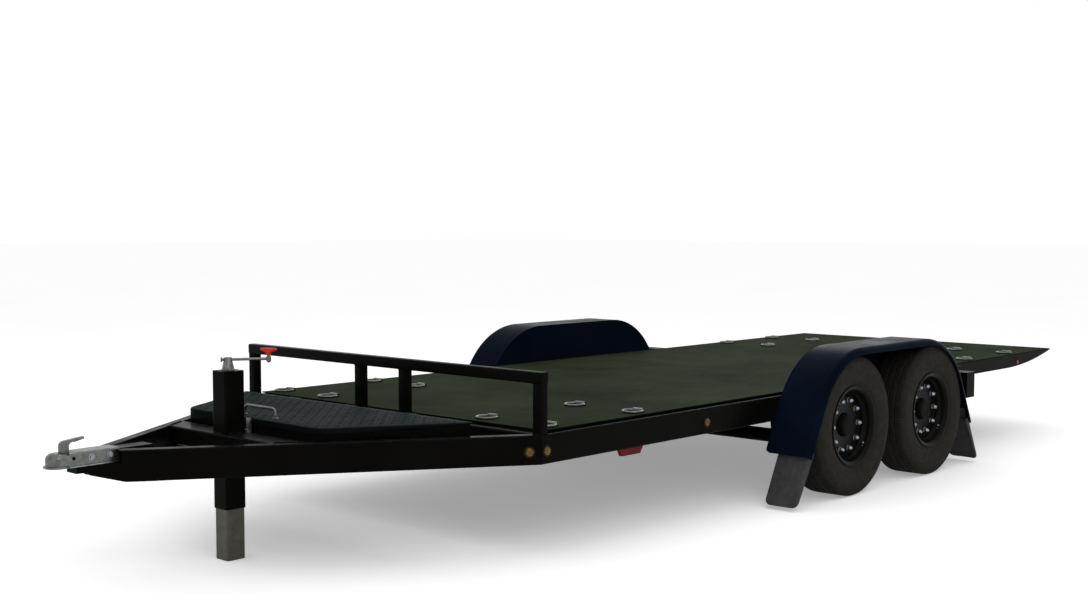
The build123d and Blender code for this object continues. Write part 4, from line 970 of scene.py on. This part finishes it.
tailLampShape = {"round": 0.030, "edge": 0.009, "wall": 0.002, "fromRail": 0.006, "forward": 0.001, "cornerPoints": 8,
                 "ribs": 9, "ribClear": 0.026, "ribShort": 0.022, "rib": 0.0042, "ribPoints": 13, "ribAround": 8,
                 "ribSquare": 8, "ribEnd": 0.02}


def tailLamp(out):
    # A thick rounded lens that fills the lamp box, with a row of half-round ribs across its rear face.
    s = tailLampShape
    low, high = corners("red_lamps")
    y1, y2 = frameHalf + s["fromRail"], high[1] - s["wall"]
    z1, z2 = low[2] + s["wall"], high[2] - s["wall"]
    x, y, thick = (low[0] + high[0]) / 2 + s["forward"], out * (y1 + y2) / 2, (high[0] - low[0]) / 2 - s["wall"]
    lens = slab((x, y, (z1 + z2) / 2), ((y2 - y1) / 2, (z2 - z1) / 2, thick), s["round"], s["edge"],
                (alongY, alongZ, -alongX), s["cornerPoints"])
    heights = np.linspace(z1 + s["ribClear"], z2 - s["ribClear"], s["ribs"])
    t = np.linspace(-1, 1, s["ribPoints"])
    girth = s["rib"] * np.sqrt(np.maximum(1 - t ** s["ribSquare"], s["ribEnd"]))
    rib = tube((t * ((y2 - y1) / 2 - s["ribShort"]))[:, None] * alongY, girth, alongZ, s["ribAround"])
    return gathered(lens, copies(rib, [(x - thick, y, z) for z in heights]))


place("tail_lenses", gathered(tailLamp(1), tailLamp(-1)), "chassis", "red_lens", ["red_lamps"], crease=40)
print("lamps: amber, red, tail")

couplerLow, couplerHigh = corners("coupler")
couplerShape = {
    "socketX": 3.457, "half": 0.044, "bolts": (3.336, 3.257), "boltUp": 0.033, "head": (0.018, 0.0095),
    "headUp": 0.0022, "washer": ((0.0, 0.0), (0.0, 0.0135), (0.0018, 0.0135), (0.0024, 0.0125), (0.0024, 0.0)),
    "washerAround": 20, "flangeOut": 0.007, "flangeHigh": 0.005, "flangeIn": 0.001, "flangeUp": 0.003,
    "flangeEnds": (0.002, 0.075), "flangeRound": 0.003, "flangeEdge": 0.0012,
    "pinX": 3.410, "pinUp": 0.035, "pinSunk": 0.0003, "pinAround": 18,
    "pin": ((0.0, 0.0), (0.0, 0.0075), (0.0015, 0.0072), (0.003, 0.0055), (0.0038, 0.003), (0.004, 0.0)),
    "lipUp": 0.005, "lipHalf": 0.0045, "lipIn": 0.001, "lipOut": 0.0055, "lipWall": 0.004, "lipPoints": 9,
    "lipAround": 48,
}


def couplerHardware():
    # Hex heads on washers at both cheeks, and a narrow foot flange along the lower edge of each cheek.
    s = couplerShape
    washer = turned(s["washer"], (0, 0, 0), alongZ, s["washerAround"])
    bolt = gathered(washer, copies(hexHead(*s["head"]), [s["headUp"] * alongZ]))
    x1, x2 = couplerLow[0] + s["flangeEnds"][0], couplerHigh[0] - s["flangeEnds"][1]
    halfOut = s["flangeOut"] / 2
    found = []
    for out in (1, -1):
        spots = [(x, out * s["half"], couplerLow[2] + s["boltUp"]) for x in s["bolts"]]
        found.append(copies(bolt, spots, np.repeat(standing(out * alongY)[None], len(spots), axis=0)))
        middle = ((x1 + x2) / 2, out * (s["half"] + halfOut - s["flangeIn"]), couplerLow[2] + s["flangeUp"])
        found.append(slab(middle, ((x2 - x1) / 2, halfOut + s["flangeIn"], s["flangeHigh"] / 2), s["flangeRound"],
                          s["flangeEdge"]))
    return gathered(*found)


def couplerPins():
    # Dark domed rivet heads at the latch's pivot.
    s = couplerShape
    return gathered(*[turned(s["pin"], (s["pinX"], out * (s["half"] - s["pinSunk"]), couplerLow[2] + s["pinUp"]),
                             out * alongY, s["pinAround"]) for out in (1, -1)])


def socketLip():
    # A small rolled lip of half-round section about the foot of the ball socket.
    s = couplerShape
    a, r = np.linspace(-np.pi / 2, np.pi / 2, s["lipPoints"]), couplerHigh[0] - s["socketX"]
    section = joined(s["lipUp"] + s["lipHalf"] * np.sin(a), r - s["lipIn"] + s["lipOut"] * np.cos(a))
    inside = [(s["lipUp"] + k * s["lipHalf"], r - s["lipWall"]) for k in (1, -1)]
    return turned(np.concatenate([section, inside]), (s["socketX"], 0.0, couplerLow[2]), alongZ, s["lipAround"], True)


noseShape = {"thick": 0.006, "sunk": 0.0004, "ease": 0.006, "easeSteps": 5,
             # X, and the height over the rail's foot.
             "line": ((3.118, 0.0005), (3.222, 0.0015), (3.335, 0.034), (3.352, 0.076), (3.215, 0.076),
                      (3.195, 0.055), (3.118, 0.014))}


def nosePlate(out):
    # A plate outline in the plane of a rail's web, its corners eased, given the web's thickness inwards.
    x, z = outlineLoop(noseShape["line"], noseShape["ease"], noseShape["easeSteps"]).T
    deep = np.array([0.0, noseShape["thick"] / np.cos(tongueTurn)])[:, None]
    y = tongueY(x) - noseShape["sunk"] - deep
    return skin(joined(x, out * y, railLow + z))


place("rail_noses", gathered(nosePlate(1), nosePlate(-1)), "chassis", "black")
place("socket_lip", socketLip(), "chassis", "zinc", crease=40)
place("coupler_bolts", couplerHardware(), "chassis", "zinc", finish=chromeFinish)
place("coupler_pins", couplerPins(), "chassis", "black", crease=50)
print("coupler: noses, lip, bolts, flanges, pins")

springShape = {
    "y": frameHalf - 0.026, "half": 0.022, "pack": 0.032, "tube": 0.038, "rod": 0.006, "rodClear": 0.001,
    "rodPast": 0.01, "boltGap": 0.055, "bend": (0.022, 8), "around": 10, "nut": (0.018, 0.010),
    "stud": ((0.009, 0.0), (0.009, 0.0055), (0.019, 0.0055), (0.0195, 0.0048), (0.0195, 0.0)), "studAround": 10,
    "plateLong": 0.078, "plateWide": 0.018, "plate": 0.009, "plateRound": 0.008, "plateEdge": 0.0015,
    "eye": (0.022, 0.011), "eyeUp": 0.026, "eyeIn": 0.034, "eyeOut": 0.008, "equalHalf": 0.110,
}


def springClamps():
    # Rods bent under the axle tube and up both sides of the spring, through a top plate with nuts.
    s = springShape
    stud = turned(s["stud"], (0, 0, 0), alongZ, s["studAround"])
    nut = gathered(hexHead(*s["nut"]), stud)
    wide = s["half"] + s["rod"] + s["rodClear"]
    found = []
    for axle in ("axle_front", "axle_rear"):
        low, high = corners(axle)
        pack = low[2] + 2 * s["tube"] + s["pack"]
        top, under = pack + s["rodPast"], low[2] - s["rod"] - s["rodClear"]
        for out in (1, -1):
            x, y = (low[0] + high[0]) / 2, out * s["y"]
            for rodX in (x - s["boltGap"], x + s["boltGap"]):
                found.append(bowRod((rodX, y - wide, top), (rodX, y + wide, top), (0, 0, under - top), s["bend"],
                                    s["rod"], alongX, s["around"]))
                found.append(copies(nut, [(rodX, y + k * wide, pack + s["plate"]) for k in (-1, 1)]))
            size = (s["plateLong"], s["half"] + s["plateWide"], s["plate"] / 2)
            found.append(slab((x, y, pack + size[2]), size, s["plateRound"], s["plateEdge"]))
    return gathered(*found)


def eyeBolts():
    # Hex heads on both faces of each hanger and each end of the equalisers.
    s = springShape
    (rear, _, foot), (ahead, _, _) = corners("spring_hangers")
    middle = np.mean([c[0] for c in corners("equalisers")])
    eyes = (ahead - s["eyeIn"], rear + s["eyeIn"], middle + s["equalHalf"], middle - s["equalHalf"])
    spots = [((x, out * s["y"] + face * (s["half"] + s["eyeOut"]), foot + s["eyeUp"]), face)
             for out in (1, -1) for x in eyes for face in (1, -1)]
    return copies(hexHead(*s["eye"]), [spot for spot, _ in spots],
                  np.stack([standing(face * alongY) for _, face in spots]))


place("spring_clamps", springClamps(), "chassis", "black")
place("eye_bolts", eyeBolts(), "chassis", "black", finish=steelFinish)
print("springs: clamps and eye bolts")

railShape = {"back": 0.040, "deep": 0.023, "wide": 0.025, "round": 0.007, "inner": 0.158, "postIn": 0.0005,
             "postEdge": 0.0004, "barEdge": 0.001}
postX, barTop = front - railShape["back"] + railShape["deep"], corners("front_rail")[1][2]
postY = (frameHalf - railShape["wide"], railShape["inner"], -railShape["inner"], railShape["wide"] - frameHalf)


def frontRail():
    # Square tubes with rounded corners: four posts, and one bar along their tops.
    d, w, corner = railShape["deep"], railShape["wide"], railShape["round"]
    tall = (barTop - 2 * w - railTop) / 2 + railShape["postIn"]
    posts = [slab((postX, y, railTop + tall), (d, w, tall), corner, railShape["postEdge"]) for y in postY]
    bar = slab((postX, 0.0, barTop - w), (d, w, frameHalf), corner, railShape["barEdge"], (alongX, alongZ, -alongY))
    return gathered(bar, *posts)


weldShape = {
    "ripple": 0.17, "beat": 2.1, "pitch": 0.0045, "least": 8, "taper": 6, "tip": 0.35, "around": 8,
    "post": 0.0042, "bar": 0.0035, "corner": 0.005, "jack": 0.005, "fender": 0.0045,        # radii
    "clear": 0.002, "short": 0.006, "up": 0.001, "cornerIn": 0.002, "cornerEnds": (0.012, 0.010),
    "crossEnds": (0.004, 0.010), "crossUp": 0.0005, "jackShort": 0.01,
    "fenderEnds": (0.24, 0.26), "fenderStep": 0.27, "fenderLong": 0.08, "fenderIn": 0.0015, "fenderDown": 0.0035,
}
beads = []


def weldBead(start, end, radius, out=alongZ):
    # A round bead along a straight joint, its girth rippling and tapering off at both ends.
    s = weldShape
    start, end = np.array(start), np.array(end)
    count = max(s["least"], int(np.linalg.norm(end - start) / s["pitch"]))
    t = np.linspace(0, 1, count)
    girth = radius * (1 + s["ripple"] * np.sin(np.arange(count) * s["beat"]))
    girth = girth * np.minimum(1, s["taper"] * np.minimum(t, 1 - t) + s["tip"])
    beads.append(tube(start + t[:, None] * (end - start), girth, out, s["around"]))


def beadAlong(x, y, z, reach, radius):
    # A bead along X, as far to both sides of its middle as its reach.
    weldBead((x - reach, y, z), (x + reach, y, z), radius)


def beadAcross(x, y, z, reach, radius):
    # A bead along Y, as far to both sides of its middle as its reach.
    weldBead((x, y - reach, z), (x, y + reach, z), radius)


w = weldShape
seam = railTop + w["up"]
deep, wide = railShape["deep"] + w["clear"], railShape["wide"] + w["clear"]
for y in postY:
    for k in (1, -1):
        beadAcross(postX + k * deep, y, seam, wide - w["short"], w["post"])
        if abs(y + k * wide) < frameHalf:
            beadAlong(postX, y + k * wide, seam, deep - w["short"], w["post"])
            beadAlong(postX, y + k * wide, barTop - 2 * railShape["wide"] - w["up"], deep - w["short"], w["bar"])
crossLow, crossHigh = corners("jack_crossbar")
crossX = (crossLow[0] + w["crossEnds"][0], crossHigh[0] - w["crossEnds"][1])
for side, out in sides:
    foot, head = railLow + w["cornerEnds"][0], railTop - w["cornerEnds"][1]
    weldBead(*[(front + w["up"], out * (frameHalf - w["cornerIn"]), z) for z in (foot, head)], w["corner"], alongY)
    flangeIn = tongueShape["flange"] / np.cos(tongueTurn)
    weldBead(*[(x, out * (tongueY(x) - flangeIn), railTop + w["crossUp"]) for x in crossX], w["post"])
    low, high = corners("fender_" + side)
    reach = w["fenderLong"] / 2
    for x in np.arange(low[0] + w["fenderEnds"][0], high[0] - w["fenderEnds"][1], w["fenderStep"]) + reach:
        beadAlong(x, out * (frameHalf - w["fenderIn"]), railTop - w["fenderDown"], reach, w["fender"])
jackHalf = (jackSpan[1][0] - jackSpan[0][0]) / 2
for k in (1, -1):
    away, reach = k * (jackHalf + w["up"]), jackHalf - w["jackShort"]
    beadAcross(jackMid[0] + away, 0.0, seam, reach, w["jack"])
    beadAlong(jackMid[0], away, seam, reach, w["jack"])
place("rail_frame", frontRail(), "chassis", "black", ["front_rail"], crease=40)
place("frame_welds", gathered(*beads), "chassis", "black", crease=60)
print("front rail, weld beads:", len(beads))

# Floor, light and camera.
studio = {"floor": 0.93, "floorStep": 0.02, "floorHalf": 90, "floorLevel": -0.001, "floorGrain": 0.6, "lift": 0.3,
          "worldFill": 0.72, "backdrop": 1.0,
          "lamps": (("top_lamp", (0.0, 0.0, 6.5), (0.0, 0.0, 0.0), 8.0, 110.0),        # spot, aim, size, power
                    ("key_lamp", (4.5, 5.5, 4.5), (0.0, 0.0, 0.4), 3.0, 60.0),
                    ("rim_lamp", (-6.5, -3.5, 4.0), (0.0, 0.0, 0.4), 3.0, 45.0))}

floorMesh = bpy.data.meshes.new("floor")
floorMesh.from_pydata([(x * studio["floorHalf"], y * studio["floorHalf"], studio["floorLevel"])
                       for x, y in ((-1, -1), (1, -1), (1, 1), (-1, 1))], [], [(0, 1, 2, 3)])
floor = bpy.data.objects.new("floor", floorMesh)
bpy.context.scene.collection.objects.link(floor)
floorFinish, floorTree, floorShader, floorOwn = newFinish("floor_finish", Specular_IOR_Level=0.0, Roughness=1.0)
floorTone = ramp(floorTree, grain(floorTree, floorOwn, studio["floorGrain"]), (0.3, grey(studio["floor"])),
                 (0.7, grey(studio["floor"] + studio["floorStep"])))
floorTree.links.new(floorTone, floorShader.inputs["Base Color"])
floorMesh.materials.append(floorFinish)
floor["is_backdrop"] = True


def glowing(node, strength):
    # A plain white light of one strength.
    node.inputs["Color"].default_value = (1, 1, 1, 1)
    node.inputs["Strength"].default_value = strength
    return node.outputs[0]


def whereSeen(tree, unseen, seen):
    # One light for rays from the camera, a mirror or glass, and the other for light that falls on things.
    rays = tree.nodes.new("ShaderNodeLightPath").outputs
    looks = rays["Is Camera Ray"]
    for other in ("Is Glossy Ray", "Is Transmission Ray"):
        looks = worked(tree, "MAXIMUM", looks, rays[other])
    mixed = tree.nodes.new("ShaderNodeMixShader")
    tree.links.new(looks, mixed.inputs["Fac"])
    tree.links.new(unseen, mixed.inputs[1])
    tree.links.new(seen, mixed.inputs[2])
    return mixed.outputs["Shader"]


noGlow, paleGlow = (glowing(floorTree.nodes.new("ShaderNodeEmission"), k) for k in (0.0, studio["lift"]))
floorSum = floorTree.nodes.new("ShaderNodeAddShader")
floorTree.links.new(floorShader.outputs["BSDF"], floorSum.inputs[0])
floorTree.links.new(whereSeen(floorTree, noGlow, paleGlow), floorSum.inputs[1])
floorTree.links.new(floorSum.outputs["Shader"], floorTree.nodes["Material Output"].inputs["Surface"])

world = bpy.data.worlds.new("studio")
bpy.context.scene.world = world
world.use_nodes = True
air = world.node_tree
fill = glowing(air.nodes["Background"], studio["worldFill"])
backdrop = glowing(air.nodes.new("ShaderNodeBackground"), studio["backdrop"])
air.links.new(whereSeen(air, fill, backdrop), air.nodes["World Output"].inputs["Surface"])


def softLamp(name, spot, aim, size, power):
    # A square soft lamp at a spot, turned to face its aim.
    light = bpy.data.lights.new(name, "AREA")
    light.shape = "SQUARE"
    light.size = size
    light.energy = power
    lamp = bpy.data.objects.new(name, light)
    bpy.context.scene.collection.objects.link(lamp)
    turn = standing(np.array(spot) - np.array(aim))
    lamp.matrix_world = Matrix([[*turn[0], spot[0]], [*turn[1], spot[1]], [*turn[2], spot[2]], [0, 0, 0, 1]])


for lamp in studio["lamps"]:
    softLamp(*lamp)

view = {"spot": (6.0785, 4.9598, 1.4325), "yaw": -137.413, "pitch": -3.399, "lens": 45.754, "sensor": 36.0,
        "far": 300.0}
optics = bpy.data.cameras.new("photo_view")
optics.sensor_fit = "HORIZONTAL"
optics.sensor_width = view["sensor"]
optics.lens = view["lens"]
optics.clip_end = view["far"]
camera = bpy.data.objects.new("photo_view", optics)
bpy.context.scene.collection.objects.link(camera)
camera.location = view["spot"]
camera.rotation_euler = (np.radians(90 + view["pitch"]), 0.0, np.radians(view["yaw"] - 90))
bpy.context.scene.camera = camera
bpy.context.scene.view_settings.view_transform = "Standard"
print("studio: floor, world,", len(studio["lamps"]), "lamps, camera")

bpy.context.view_layer.update()
low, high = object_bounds()
